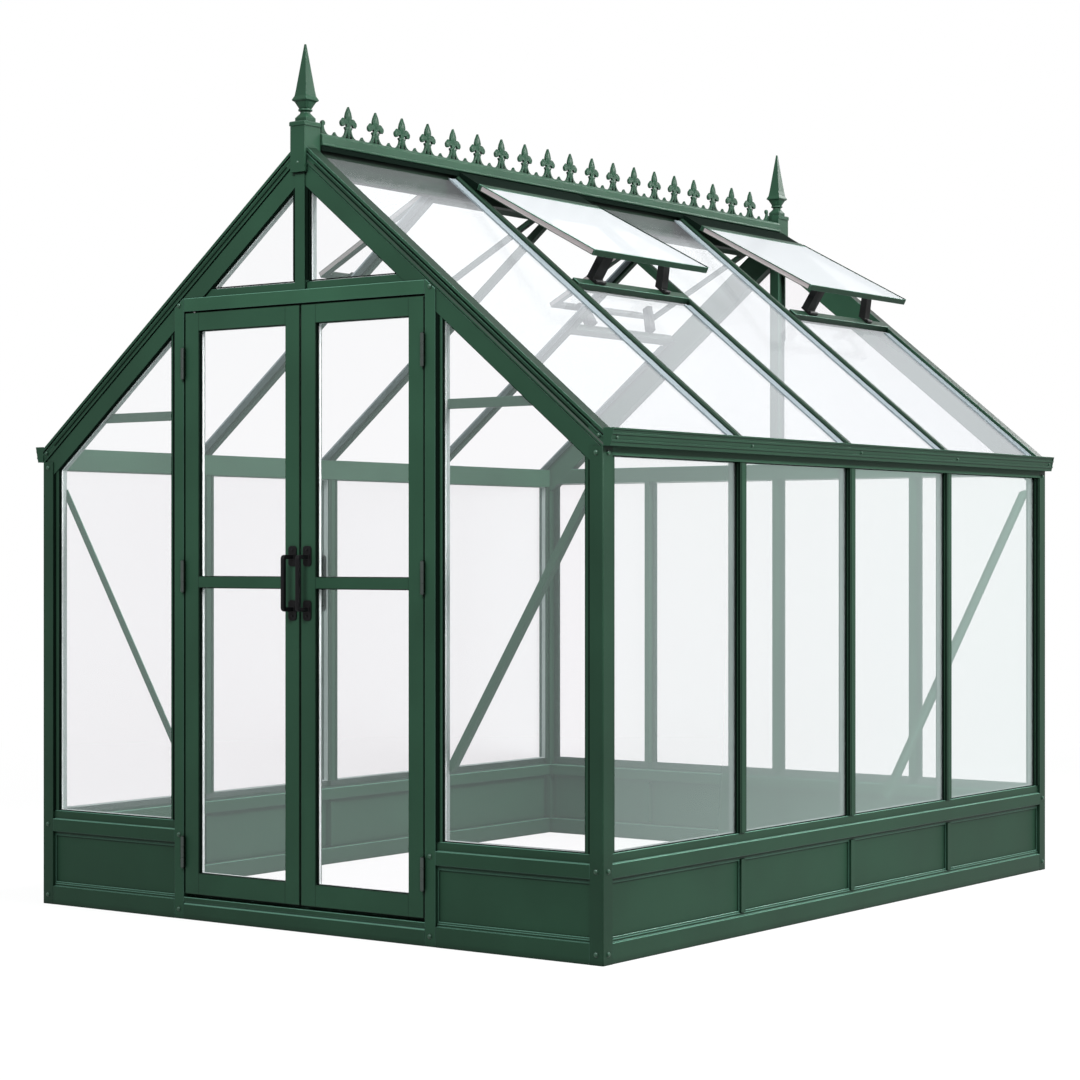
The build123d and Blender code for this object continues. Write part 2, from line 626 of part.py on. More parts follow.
# ---- glass --------------------------------------------------------------------------------
def wall_pane(low, high, top):
    """Upright pane in a right-hand wall bay."""
    x_out = HALF_W - GLASS_DEPTH
    return block(x_out - GLASS_T, x_out, low, high, DWARF_TOP + 2, top)


side_glass = [wall_pane(low, high, EAVES_FOOT - 1) for low, high in bays(SIDE_LINES, BAR_W / 2)]
save("side_wall_glass", pair(side_glass))


def gable_pane(x_low, x_high, bottom):
    """Pane in the plane of the front wall, cut along the top to the rafter."""
    return along_y([
        (x_low, bottom), (x_high, bottom), (x_high, roof_z(x_high, RAFTER_H + FIT)),
        (x_low, roof_z(x_low, RAFTER_H + FIT))], FRONT + GLASS_DEPTH, FRONT + GLASS_DEPTH + GLASS_T)


save("front_wall_glass", pair([gable_pane(jamb_outer + FIT, post_inner - FIT, DWARF_TOP + 2)]))
king_side = KING_POST_W / 2 + FIT
rail_reach = (roof_z(0, RAFTER_H + FIT) - GABLE_RAIL_TOP - FIT) / ROOF_RISE
front_gable_pane = along_y([
    (king_side, GABLE_RAIL_TOP + FIT), (rail_reach, GABLE_RAIL_TOP + FIT),
    (king_side, roof_z(king_side, RAFTER_H + FIT))], FRONT + GLASS_DEPTH, FRONT + GLASS_DEPTH + GLASS_T)
tie_reach = min(post_inner - FIT, (roof_z(0, RAFTER_H + FIT) - TIE_TOP - FIT) / ROOF_RISE)
rear_gable_pane = along_y([
    (king_side, TIE_TOP + FIT), (tie_reach, TIE_TOP + FIT),
    (king_side, roof_z(king_side, RAFTER_H + FIT))], FRONT + GLASS_DEPTH, FRONT + GLASS_DEPTH + GLASS_T)
save("gable_glass", pair([front_gable_pane]) + [to_rear(pane) for pane in pair([rear_gable_pane])])
rear_panes = []
for low, high in bays((0,) + REAR_LINES[3:], BAR_W / 2):
    low = max(low, BAR_W / 2 + FIT)
    pane = block(low, high, FRONT + GLASS_DEPTH, FRONT + GLASS_DEPTH + GLASS_T, DWARF_TOP + 2, TIE_BOTTOM - FIT)
    rear_panes.append(to_rear(pane & below_rafter(0, RAFTER_H + FIT, low, high, FRONT, FRONT + POST)))
save("rear_wall_glass", pair(rear_panes))

EAVES_S = (HALF_W - GUTTER_T) / COS


def roof_pane(low, high, s_head):
    """Pane lying in the right-hand slope between two bars."""
    run = down_slope([(low, ROOF_GLASS_N), (high, ROOF_GLASS_N), (high, ROOF_GLASS_N - GLASS_T),
                      (low, ROOF_GLASS_N - GLASS_T)], s_head, EAVES_S)
    return run & block(BLOCK_W / 2 + FIT, HALF_W - 2, low, high, EAVES_FOOT, RIDGE_Z)


CILL_S = VENT_HEAD_S + VENT_LEN - 22
roof_spans = bays(SIDE_LINES, ROOF_BAR_W / 2)
roof_panes = [
    roof_pane(low, high, 0 if index % 2 == 0 else CILL_S + CILL_W / 2 + FIT)
    for index, (low, high) in enumerate(roof_spans)
]
save("roof_glass", pair(roof_panes))


# ---- roof vents ---------------------------------------------------------------------------
VENT_TILT = PITCH - radians(VENT_OPEN)


def vent_plane():
    """Plane of an open vent: origin on the hinge line, local x down the vent, z outwards."""
    hinge = Vector(0, 0, RIDGE_Z) + Vector(COS, 0, -SIN) * VENT_HEAD_S + Vector(SIN, 0, COS) * VENT_LIFT
    return Plane(origin=hinge, x_dir=(cos(VENT_TILT), 0, -sin(VENT_TILT)),
                 z_dir=(sin(VENT_TILT), 0, cos(VENT_TILT)))


def vent_block(s0, s1, y0, y1, n0, n1):
    """Square-cut piece in the vent's own plane."""
    return vent_plane() * (Pos((s0 + s1) / 2, (y0 + y1) / 2, (n0 + n1) / 2) * Box(s1 - s0, y1 - y0, n1 - n0))


def vent_stay(y, width, foot_x, head_x):
    """Bracket standing on the cill at foot_x with a rolled foot, propping the vent at head_x."""
    plane = vent_plane()
    half = STAY_BAR / 2
    foot_z = roof_z(foot_x, -CILL_RISE)
    head_z = plane.origin.Z - (head_x - plane.origin.X) * sin(VENT_TILT) / cos(VENT_TILT)
    foot_slope = ROOF_RISE * half
    head_slope = half * sin(VENT_TILT) / cos(VENT_TILT)
    arm = along_y([
        (foot_x - half, foot_z + foot_slope), (foot_x + half, foot_z - foot_slope),
        (foot_x + half + STAY_FOOT, foot_z + STAY_FOOT), (head_x + half, head_z - head_slope),
        (head_x - half, head_z + head_slope)], y - width / 2, y + width / 2)
    heel = along_y([
        (foot_x - half, foot_z + foot_slope), (foot_x + 2 * half, foot_z - 2 * foot_slope),
        (foot_x + 2 * half, foot_z - 2 * foot_slope + 2 * STAY_FOOT), (foot_x + half, foot_z + STAY_FOOT),
        (foot_x - half, foot_z + foot_slope + STAY_FOOT)], y - width / 2, y + width / 2)
    roll = Plane(origin=(foot_x + 2 * half, y + width / 2, foot_z - 2 * foot_slope + STAY_ROLL / COS),
                 x_dir=(1, 0, 0), z_dir=(0, -1, 0)) * RegularPolygon(STAY_ROLL, 8)
    return arm + heel + extrude(roll, width)


vent_spans = [roof_spans[1], roof_spans[3]]
vent_frames = []
vent_glass = []
vent_cills = []
vent_stays = []
cill_x = CILL_S * COS
for low, high in vent_spans:
    left = low - ROOF_BAR_W / 2
    right = high + ROOF_BAR_W / 2 - LAP
    inset = VENT_REBATE + FIT
    seat_n = VENT_T - VENT_REBATE
    rim = vent_block(0, VENT_LEN, left, right, 0, VENT_T)
    opening = vent_block(VENT_HEAD_BAR, VENT_LEN - VENT_BAR, left + VENT_BAR, right - VENT_BAR, -1, VENT_T + 1)
    rebate = vent_block(VENT_HEAD_BAR - VENT_REBATE, VENT_LEN - VENT_REBATE, left + VENT_REBATE,
                        right - VENT_REBATE, seat_n, VENT_T + 1)
    vent_frames.append(rim - opening - rebate)
    vent_glass.append(vent_block(VENT_HEAD_BAR - VENT_REBATE + FIT, VENT_LEN - inset, left + inset,
                                 right - inset, seat_n, seat_n + GLASS_T))
    vent_cills.append(down_slope([(low, -28), (high, -28), (high, CILL_RISE), (low, CILL_RISE)],
                                 CILL_S - CILL_W / 2, CILL_S + CILL_W / 2))
    front_y = left + (right - left) * FRONT_STAY_AT
    rear_y = left + (right - left) * REAR_STAY_AT
    vent_stays.append(vent_stay(front_y, FRONT_STAY_W, cill_x - STAY_BAR / 2, cill_x + 42))
    vent_stays.append(vent_stay(rear_y, REAR_STAY_W, cill_x - STAY_BAR / 2, cill_x + 6))
save("roof_vent_frames", pair(vent_frames))
save("roof_vent_glass", pair(vent_glass))
save("roof_vent_cills", pair(vent_cills))
save("roof_vent_stays", pair(vent_stays))


# ---- braces -------------------------------------------------------------------------------
def flat_bar(start, end, plane, depth):
    """Flat bar between two points of a wall, on the inner side of the glass."""
    (u0, z0), (u1, z1) = start, end
    run = Vector(u1 - u0, z1 - z0)
    side = Vector(-run.Y, run.X).normalized() * (BRACE_W / 2)
    points = [(u0 + side.X, z0 + side.Y), (u1 + side.X, z1 + side.Y),
              (u1 - side.X, z1 - side.Y), (u0 - side.X, z0 - side.Y)]
    if plane == "front":
        return along_y(points, FRONT + depth, FRONT + depth + BRACE_T)
    return along_x(points, HALF_W - depth - BRACE_T, HALF_W - depth)


front_brace = flat_bar((post_inner - 18, 1470), (jamb_outer + 22, 560), "front", 42)
side_brace = flat_bar((REAR - POST - 20, 1490), (330, 360), "side", BAR_DEPTH)
save("wall_braces", pair([front_brace]) + [side_brace])

# ---- double doors -------------------------------------------------------------------------
def door_leaf():
    """Right-hand leaf: stiles, top, middle and bottom rail round two panes."""
    leaf = block(LEAF_INNER, LEAF_OUTER, LEAF_FACE, LEAF_BACK, LEAF_BOTTOM, LEAF_TOP)
    for low, high in ((LEAF_BOTTOM + LEAF_BOTTOM_RAIL, MID_RAIL[0]), (MID_RAIL[1], LEAF_TOP - LEAF_TOP_RAIL)):
        leaf = leaf - block(LEAF_INNER + STILE, LEAF_OUTER - STILE, LEAF_FACE - 1, LEAF_BACK + 1, low, high)
    return leaf


def leaf_glass():
    panes = []
    for low, high in ((LEAF_BOTTOM + LEAF_BOTTOM_RAIL, MID_RAIL[0]), (MID_RAIL[1], LEAF_TOP - LEAF_TOP_RAIL)):
        panes.append(block(LEAF_INNER + STILE, LEAF_OUTER - STILE, LEAF_FACE + LEAF_GLASS_DEPTH,
                           LEAF_FACE + LEAF_GLASS_DEPTH + GLASS_T, low, high))
    return panes


def rounded_plate(z_low, z_high):
    """Handle plate with rounded corners, flat against a leaf's face at y = 0."""
    plate = Pos(HANDLE_X, 0, (z_low + z_high) / 2) * Box(PLATE_W, PLATE_T, z_high - z_low)
    return chamfer(plate.edges().filter_by(Axis.Y), PLATE_ROUND / 2)


def pull(face_y, outward):
    """D-shaped pull handle on two plates; outward is -1 in front of the leaf, +1 behind it."""
    half = HANDLE_LEN / 2
    reach = outward * HANDLE_OUT
    bend = outward * HANDLE_BEND
    outer = [(0, -half), (reach - bend, -half), (reach - 0.3 * bend, -half + 0.3 * HANDLE_BEND),
             (reach, -half + HANDLE_BEND), (reach, half - HANDLE_BEND),
             (reach - 0.3 * bend, half - 0.3 * HANDLE_BEND), (reach - bend, half), (0, half)]
    inner_reach = reach - outward * HANDLE_BAR
    inner_half = half - HANDLE_BAR
    inner = [(0, inner_half), (inner_reach, inner_half), (inner_reach, -inner_half), (0, -inner_half)]
    grip = along_x([(face_y + y, HANDLE_Z + z) for y, z in outer + inner],
                   HANDLE_X - HANDLE_BAR / 2, HANDLE_X + HANDLE_BAR / 2)
    plate_y = Pos(0, face_y + outward * PLATE_T / 2, HANDLE_Z)
    upper = plate_y * rounded_plate(half - PLATE_BELOW, half + PLATE_ABOVE)
    lower = plate_y * rounded_plate(-half - PLATE_ABOVE, -half + PLATE_BELOW)
    return grip + upper + lower


pin_x = DOOR_HALF - LEAF_GAP / 2
pin_y = FRONT - HINGE_OUT


def barrel(z0, z1, radius):
    return extrude(Pos(pin_x, pin_y, z0) * RegularPolygon(radius, BARREL_SIDES), z1 - z0)


def jamb_knuckle(z):
    """Middle knuckle of one hinge and its flap on the jamb."""
    third = HINGE_LEN / 6
    tube = barrel(z - third, z + third, HINGE_R)
    flap = block(DOOR_HALF - FLAP_T, DOOR_HALF, pin_y + HINGE_R + 2, FRONT + 32, z - HINGE_LEN / 2, z + HINGE_LEN / 2)
    web = block(DOOR_HALF - FLAP_T, DOOR_HALF, pin_y + PIN_R + 1, FRONT + 32, z - third, z + third)
    return tube + flap + web - barrel(z - third - 1, z + third + 1, PIN_R + PIN_CLEARANCE)


def leaf_hinge(z):
    """Upper and lower knuckles of one hinge, the pin through them and the flap on the leaf."""
    third = HINGE_LEN / 6
    half = HINGE_LEN / 2
    piece = barrel(z - half, z + half, PIN_R)
    flap = block(LEAF_OUTER, LEAF_OUTER + FLAP_T, pin_y + HINGE_R + 2, LEAF_BACK, z - half, z + half)
    for low, high in ((z - half, z - third - KNUCKLE_GAP), (z + third + KNUCKLE_GAP, z + half)):
        web = block(LEAF_OUTER, LEAF_OUTER + FLAP_T, pin_y + PIN_R + 1, LEAF_BACK, low, high)
        piece = piece + barrel(low, high, HINGE_R) + web
    return piece + flap


save("jamb_hinge_knuckles", pair([jamb_knuckle(z) for z in HINGE_Z]))
leaf = door_leaf()
panes = leaf_glass()
handles = [pull(LEAF_FACE, -1), pull(LEAF_BACK, 1)]
hinges = [leaf_hinge(z) for z in HINGE_Z]
for side, place in (("right", lambda shape: shape), ("left", across)):
    save(f"{side}_door_leaf", [place(leaf)])
    save(f"{side}_door_glass", [place(pane) for pane in panes])
    save(f"{side}_door_handles", [place(handle) for handle in handles])
    save(f"{side}_door_hinges", [place(hinge) for hinge in hinges])
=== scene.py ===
from math import atan, cos, radians, sin

import bpy
from mathutils import Matrix, Vector


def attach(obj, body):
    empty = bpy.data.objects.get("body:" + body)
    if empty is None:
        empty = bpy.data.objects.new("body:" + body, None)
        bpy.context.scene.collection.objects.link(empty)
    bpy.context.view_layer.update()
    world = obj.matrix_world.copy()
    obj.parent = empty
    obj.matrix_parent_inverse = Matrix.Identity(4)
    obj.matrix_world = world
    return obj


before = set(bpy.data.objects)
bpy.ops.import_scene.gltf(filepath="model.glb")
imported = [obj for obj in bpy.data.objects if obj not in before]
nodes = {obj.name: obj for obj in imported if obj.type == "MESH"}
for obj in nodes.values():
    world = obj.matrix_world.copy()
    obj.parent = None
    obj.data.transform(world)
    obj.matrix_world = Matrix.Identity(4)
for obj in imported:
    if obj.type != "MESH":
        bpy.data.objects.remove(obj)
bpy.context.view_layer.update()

bpy.ops.object.select_all(action="DESELECT")

# ---- the view ------------------------------------------------------------------------------
# A long lens at eye height, off the right front corner of the house. It is held level and
# raised a little by its shift, so that upright posts stay upright.
bpy.ops.object.camera_add(location=(5.761, -8.014, 1.244), rotation=(radians(90), 0, radians(36.364)))
camera = bpy.context.object
camera.data.sensor_width = 36
camera.data.lens = 87.42
camera.data.shift_y = 0.01355
camera.data.clip_end = 80
bpy.context.scene.camera = camera
bpy.context.scene.view_settings.view_transform = "Standard"

# ---- ground and studio light ---------------------------------------------------------------
# A plain white floor and surround, under a sky brightest overhead. Two large soft lamps at the
# front are feathered upwards, so that the roof and gable take more light than the foot, and a
# weaker one behind keeps the back from going black.
bpy.ops.mesh.primitive_plane_add(size=60, location=(0, 0, 0))
floor = bpy.context.object
floor.name = "studio_floor"


def seen_directly(tree):
    """One socket that is 1 for what the eye, a mirror or a pane shows, and 0 for light on surfaces."""
    path = tree.nodes.new("ShaderNodeLightPath")
    first = tree.nodes.new("ShaderNodeMath")
    first.operation = "MAXIMUM"
    tree.links.new(path.outputs["Is Camera Ray"], first.inputs[0])
    tree.links.new(path.outputs["Is Glossy Ray"], first.inputs[1])
    second = tree.nodes.new("ShaderNodeMath")
    second.operation = "MAXIMUM"
    tree.links.new(first.outputs[0], second.inputs[0])
    tree.links.new(path.outputs["Is Transmission Ray"], second.inputs[1])
    return second.outputs[0]


floor_white = bpy.data.materials.new("floor_white")
floor_white.use_nodes = True
tree = floor_white.node_tree
tree.nodes.clear()
output = tree.nodes.new("ShaderNodeOutputMaterial")
diffuse = tree.nodes.new("ShaderNodeBsdfDiffuse")
matt = tree.nodes.new("ShaderNodeMix")
matt.data_type = "RGBA"
matt.inputs["A"].default_value = (0.34, 0.35, 0.35, 1)
matt.inputs["B"].default_value = (0.95, 0.95, 0.95, 1)
tree.links.new(matt.outputs["Result"], diffuse.inputs["Color"])
glow = tree.nodes.new("ShaderNodeEmission")
glow.inputs["Color"].default_value = (1, 1, 1, 1)
glow.inputs["Strength"].default_value = 1.0
share = tree.nodes.new("ShaderNodeMath")
share.operation = "MULTIPLY"
place = tree.nodes.new("ShaderNodeTexCoord")
away = tree.nodes.new("ShaderNodeVectorMath")
away.operation = "LENGTH"
tree.links.new(place.outputs["Object"], away.inputs[0])
spread = tree.nodes.new("ShaderNodeMapRange")
spread.inputs["From Min"].default_value = 3.0
spread.inputs["From Max"].default_value = 8.0
spread.inputs["To Min"].default_value = 0.90
tree.links.new(away.outputs["Value"], spread.inputs["Value"])
tree.links.new(spread.outputs["Result"], share.inputs[1])
seen = seen_directly(tree)
tree.links.new(seen, matt.inputs["Factor"])
tree.links.new(seen, share.inputs[0])
blend = tree.nodes.new("ShaderNodeMixShader")
tree.links.new(share.outputs[0], blend.inputs[0])
tree.links.new(diffuse.outputs[0], blend.inputs[1])
tree.links.new(glow.outputs[0], blend.inputs[2])
tree.links.new(blend.outputs[0], output.inputs["Surface"])
floor.data.materials.append(floor_white)

world = bpy.data.worlds.new("studio_sky")
bpy.context.scene.world = world
world.use_nodes = True
tree = world.node_tree
tree.nodes.clear()
output = tree.nodes.new("ShaderNodeOutputWorld")
place = tree.nodes.new("ShaderNodeTexCoord")
height = tree.nodes.new("ShaderNodeSeparateXYZ")
tree.links.new(place.outputs["Generated"], height.inputs[0])
sky = tree.nodes.new("ShaderNodeValToRGB")
sky.color_ramp.elements[0].position = 0.0
sky.color_ramp.elements[0].color = (0.30, 0.31, 0.31, 1)
sky.color_ramp.elements[1].position = 0.85
sky.color_ramp.elements[1].color = (0.95, 1.0, 1.0, 1)
tree.links.new(height.outputs["Z"], sky.inputs["Fac"])
soft = tree.nodes.new("ShaderNodeBackground")
tree.links.new(sky.outputs["Color"], soft.inputs["Color"])
soft.inputs["Strength"].default_value = 0.62
white = tree.nodes.new("ShaderNodeBackground")
white.inputs["Color"].default_value = (1, 1, 1, 1)
white.inputs["Strength"].default_value = 1.0
blend = tree.nodes.new("ShaderNodeMixShader")
tree.links.new(seen_directly(tree), blend.inputs[0])
tree.links.new(soft.outputs[0], blend.inputs[1])
tree.links.new(white.outputs[0], blend.inputs[2])
tree.links.new(blend.outputs[0], output.inputs["Surface"])

lamps = (((1.5, -7.0, 6.0), (0, 1, 0.3), 2.5, 1250),
         ((6.7, -0.5, 6.0), (-1, 0, 0.3), 2.5, 2000),
         ((2.5, 8.0, 6.0), (0, -1, 0.3), 3.0, 700))
for place, heading, size, power in lamps:
    aim = Vector(heading).to_track_quat("-Z", "Y").to_euler()
    bpy.ops.object.light_add(type="AREA", location=place, rotation=aim)
    lamp = bpy.context.object
    lamp.data.size = size
    lamp.data.energy = power


# ---- corner posts --------------------------------------------------------------------------
# Four square hollow aluminium posts, extruded and powder coated dark green. Domed bolts hold
# the dwarf wall's rails and the gutter's end to two faces of each.
def powder_coat(name, colour, roughness, top=None):
    """Satin powder coat: faint orange peel, a slow drift in tone and gloss, and painted shade that
    darkens corners and creases by their ambient occlusion. A second colour, if there is one, is
    painted on the faces that look upwards: painted light where it is lighter, painted shade where darker."""
    material = bpy.data.materials.new(name)
    material.use_nodes = True
    tree = material.node_tree
    surface = tree.nodes["Principled BSDF"]
    surface.inputs["Specular IOR Level"].default_value = 0.10
    place = tree.nodes.new("ShaderNodeTexCoord")
    drift = tree.nodes.new("ShaderNodeTexNoise")
    drift.inputs["Scale"].default_value = 2.6
    drift.inputs["Detail"].default_value = 5
    tree.links.new(place.outputs["Object"], drift.inputs["Vector"])
    tone = tree.nodes.new("ShaderNodeValToRGB")
    tone.color_ramp.elements[0].position = 0.3
    tone.color_ramp.elements[1].position = 0.7
    tone.color_ramp.elements[0].color = [c * 0.86 for c in colour] + [1]
    tone.color_ramp.elements[1].color = [c * 1.14 for c in colour] + [1]
    tree.links.new(drift.outputs["Fac"], tone.inputs["Fac"])
    # Painted shade: ambient occlusion darkens the base colour in corners, creases and joins.
    corner = tree.nodes.new("ShaderNodeAmbientOcclusion")
    corner.samples = 4
    corner.inputs["Distance"].default_value = 0.022
    shade = tree.nodes.new("ShaderNodeMapRange")
    shade.inputs["From Min"].default_value = 0.35
    shade.inputs["From Max"].default_value = 0.90
    shade.inputs["To Min"].default_value = 0.22
    tree.links.new(corner.outputs["AO"], shade.inputs["Value"])
    corner_painted_shade = tree.nodes.new("ShaderNodeMix")
    corner_painted_shade.data_type = "RGBA"
    corner_painted_shade.blend_type = "MULTIPLY"
    corner_painted_shade.inputs["Factor"].default_value = 1.0
    tree.links.new(tone.outputs["Color"], corner_painted_shade.inputs["A"])
    # A second colour on upward faces stands in for how light falls on them: painted light where it is
    # lighter than the coat, painted shade where it is darker.
    if top:
        shape = tree.nodes.new("ShaderNodeNewGeometry")
        facing = tree.nodes.new("ShaderNodeSeparateXYZ")
        tree.links.new(shape.outputs["Normal"], facing.inputs[0])
        upward = tree.nodes.new("ShaderNodeMapRange")
        upward.inputs["From Min"].default_value = 0.05
        upward.inputs["From Max"].default_value = 0.55
        tree.links.new(facing.outputs["Z"], upward.inputs["Value"])
        top_painted_shading = tree.nodes.new("ShaderNodeMix")
        top_painted_shading.data_type = "RGBA"
        top_painted_shading.inputs["B"].default_value = (*top, 1)
        tree.links.new(upward.outputs["Result"], top_painted_shading.inputs["Factor"])
        tree.links.new(tone.outputs["Color"], top_painted_shading.inputs["A"])
        tree.links.new(top_painted_shading.outputs["Result"], corner_painted_shade.inputs["A"])
    tree.links.new(shade.outputs["Result"], corner_painted_shade.inputs["B"])
    tree.links.new(corner_painted_shade.outputs["Result"], surface.inputs["Base Color"])
    gloss = tree.nodes.new("ShaderNodeMapRange")
    gloss.inputs["To Min"].default_value = roughness - 0.06
    gloss.inputs["To Max"].default_value = roughness + 0.06
    tree.links.new(drift.outputs["Fac"], gloss.inputs["Value"])
    tree.links.new(gloss.outputs["Result"], surface.inputs["Roughness"])
    peel = tree.nodes.new("ShaderNodeTexNoise")
    peel.inputs["Scale"].default_value = 420
    peel.inputs["Detail"].default_value = 2
    tree.links.new(place.outputs["Object"], peel.inputs["Vector"])
    relief = tree.nodes.new("ShaderNodeBump")
    relief.inputs["Strength"].default_value = 0.12
    relief.inputs["Distance"].default_value = 0.0006
    tree.links.new(peel.outputs["Fac"], relief.inputs["Height"])
    tree.links.new(relief.outputs["Normal"], surface.inputs["Normal"])
    return material


def finish_node(name, material, edge=0.0, edge_material=None):
    """Gives a CAD node its finish, with the small radius that an extrusion's edges have."""
    node = nodes[name]
    node.data.materials.clear()
    node.data.materials.append(material)
    # The edge material colours the rounded edges: a lighter copy of the coat as painted highlight, a darker
    # copy as painted shade.
    if edge_material:
        node.data.materials.append(edge_material)
    if edge:
        weld = node.modifiers.new("weld", "WELD")
        weld.merge_threshold = 0.00002
        radius = node.modifiers.new("edge_radius", "BEVEL")
        radius.width = edge
        radius.segments = 2
        radius.limit_method = "ANGLE"
        radius.angle_limit = radians(35)
        radius.material = 1 if edge_material else -1
    return node


def pick_faces(piece, wanted):
    """Leaves edit mode on, with only the wanted faces of the piece selected."""
    bpy.ops.object.mode_set(mode="EDIT")
    bpy.ops.mesh.select_mode(type="FACE")
    bpy.ops.mesh.select_all(action="DESELECT")
    bpy.ops.object.mode_set(mode="OBJECT")
    for face in piece.data.polygons:
        face.select = bool(wanted(face))
    bpy.ops.object.mode_set(mode="EDIT")


def dome_bolt(radius, height, material):
    """Domed bolt head standing on a thin washer, pointing up at the origin."""
    bpy.ops.object.select_all(action="DESELECT")
    bpy.ops.mesh.primitive_cylinder_add(vertices=16, radius=radius, depth=height * 0.3,
                                        location=(0, 0, height * 0.15))
    bolt = bpy.context.object
    for inset, rise in ((radius * 0.22, 0.0), (radius * 0.02, height * 0.35), (radius * 0.2, height * 0.25),
                        (radius * 0.25, height * 0.1)):
        pick_faces(bolt, lambda face: face.normal.z > 0.9 and face.center.xy.length < radius * 0.1)
        bpy.ops.mesh.inset(thickness=inset)
        bpy.ops.transform.translate(value=(0, 0, rise))
        bpy.ops.object.mode_set(mode="OBJECT")
    bpy.ops.object.shade_smooth_by_angle(angle=radians(40))
    bolt.data.materials.append(material)
    return bolt


def set_in_place(model, name, places, body):
    """Copies a model to every (place, facing) pair, joins the copies and fixes them to a body."""
    copies = []
    for place, facing in places:
        copy = model.copy()
        copy.data = model.data.copy()
        bpy.context.collection.objects.link(copy)
        copy.location = place
        copy.rotation_mode = "QUATERNION"
        copy.rotation_quaternion = Vector(facing).to_track_quat("Z", "Y")
        copies.append(copy)
    return join_pieces(copies, name, body)


def join_pieces(pieces, name, body):
    """Joins like pieces that are fixed together."""
    bpy.ops.object.select_all(action="DESELECT")
    for piece in pieces:
        piece.select_set(True)
    bpy.context.view_layer.objects.active = pieces[0]
    bpy.ops.object.join()
    return finish_piece(bpy.context.object, name, body)


def finish_piece(piece, name, body):
    """Applies a piece's place to its mesh, names it and fixes it to the body it moves with."""
    bpy.ops.object.select_all(action="DESELECT")
    piece.select_set(True)
    bpy.context.view_layer.objects.active = piece
    bpy.ops.object.transform_apply(location=True, rotation=True, scale=True)
    piece.rotation_mode = "XYZ"
    piece.name = name
    piece.data.name = name
    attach(piece, body)
    return piece


GREEN = (0.0125, 0.0385, 0.0222)
frame_green = powder_coat("frame_green", GREEN, 0.42)
# A lighter copy of the coat for rounded edges, lighter again where they face upwards: painted highlight.
edge_highlight_green = powder_coat("frame_green_painted_highlight", (0.026, 0.066, 0.045), 0.36, (0.095, 0.215, 0.160))
# A darker copy of the coat: painted shade, on bevels and on parts that lie in shadow.
painted_shade_coat = powder_coat("frame_green_painted_shade", tuple(c * 0.62 for c in GREEN), 0.46)
# The posts take a darker copy of the coat: painted shade.
post_painted_shade_green = powder_coat("post_painted_shade_green", tuple(c * 0.86 for c in GREEN), 0.42)
finish_node("corner_posts", post_painted_shade_green, 0.002, edge_highlight_green)
side_x = 1.220
front_y = 1.525
BOLT_LINE = 0.026
post_bolts = []
for hand in (-1, 1):
    for end in (-1, 1):
        for z in (0.033, 0.284, 1.553):
            post_bolts.append(((hand * (side_x - BOLT_LINE), end * front_y, z), (0, end, 0)))
            post_bolts.append(((hand * side_x, end * 1.498, z), (hand, 0, 0)))
# A lighter, glossier copy of the coat, lighter again on top: painted highlight on the bolt and screw heads.
bolt_painted_highlight_green = powder_coat("bolt_painted_highlight_green", tuple(c * 1.3 for c in GREEN), 0.30, (0.042, 0.100, 0.072))
bolt_painted_highlight_green.node_tree.nodes["Principled BSDF"].inputs["Specular IOR Level"].default_value = 0.3
bolt = dome_bolt(0.009, 0.006, bolt_painted_highlight_green)
set_in_place(bolt, "post_bolts", post_bolts, "greenhouse")

# ---- dwarf wall ----------------------------------------------------------------------------
# Aluminium base and top rails with a small bead that holds a flat pressed panel in each bay.
# A set-back strip on the top rail carries the glass.
panel_green = powder_coat("panel_green", tuple(c * 1.05 for c in GREEN), 0.46)
for name in ("front_base_rails", "side_base_rails", "rear_base_rail", "front_dwarf_rails",
             "side_dwarf_rails", "rear_dwarf_rail"):
    finish_node(name, frame_green, 0.002, edge_highlight_green)
for name in ("front_dwarf_panels", "side_dwarf_panels", "rear_dwarf_panels"):
    finish_node(name, panel_green)


def panel_bead(name, wall, middle, width, low, high):
    """Mitred bead round a panel: a flat ring of two steps, laid on the panel's face."""
    centre, turn = wall_place(wall, middle, (low + high) / 2, 0.016)
    bpy.ops.object.select_all(action="DESELECT")
    bpy.ops.mesh.primitive_plane_add(size=1, location=centre, rotation=turn)
    bead = bpy.context.object
    bead.scale = (width, high - low, 1)
    bpy.ops.object.transform_apply(location=True, rotation=True, scale=True)
    pick_faces(bead, lambda face: True)
    bpy.ops.mesh.inset(thickness=0.006)
    bpy.ops.mesh.delete(type="FACE")
    bpy.ops.object.mode_set(mode="OBJECT")
    outward = Vector(bead.data.polygons[0].normal)
    pick_faces(bead, lambda face: True)
    bpy.ops.mesh.extrude_region_move(TRANSFORM_OT_translate={"value": outward * 0.005})
    bpy.ops.object.mode_set(mode="OBJECT")
    # The bead takes the edge coat: painted highlight, lighter on its upward faces.
    bead.data.materials.append(edge_highlight_green)
    radius = bead.modifiers.new("radius", "BEVEL")
    radius.width = 0.0012
    radius.segments = 1
    bpy.ops.object.modifier_apply(modifier="radius")
    return finish_piece(bead, name, "greenhouse")


def wall_place(wall, along, z, depth):
    """World place and turn of a piece laid flat in a wall, depth behind the frame's face."""
    if wall == "front":
        return (along, depth - front_y, z), (radians(90), 0, 0)
    if wall == "rear":
        return (along, front_y - depth, z), (radians(90), 0, radians(180))
    if wall == "right":
        return (side_x - depth, along, z), (radians(90), 0, radians(90))
    return (depth - side_x, along, z), (radians(90), 0, radians(-90))


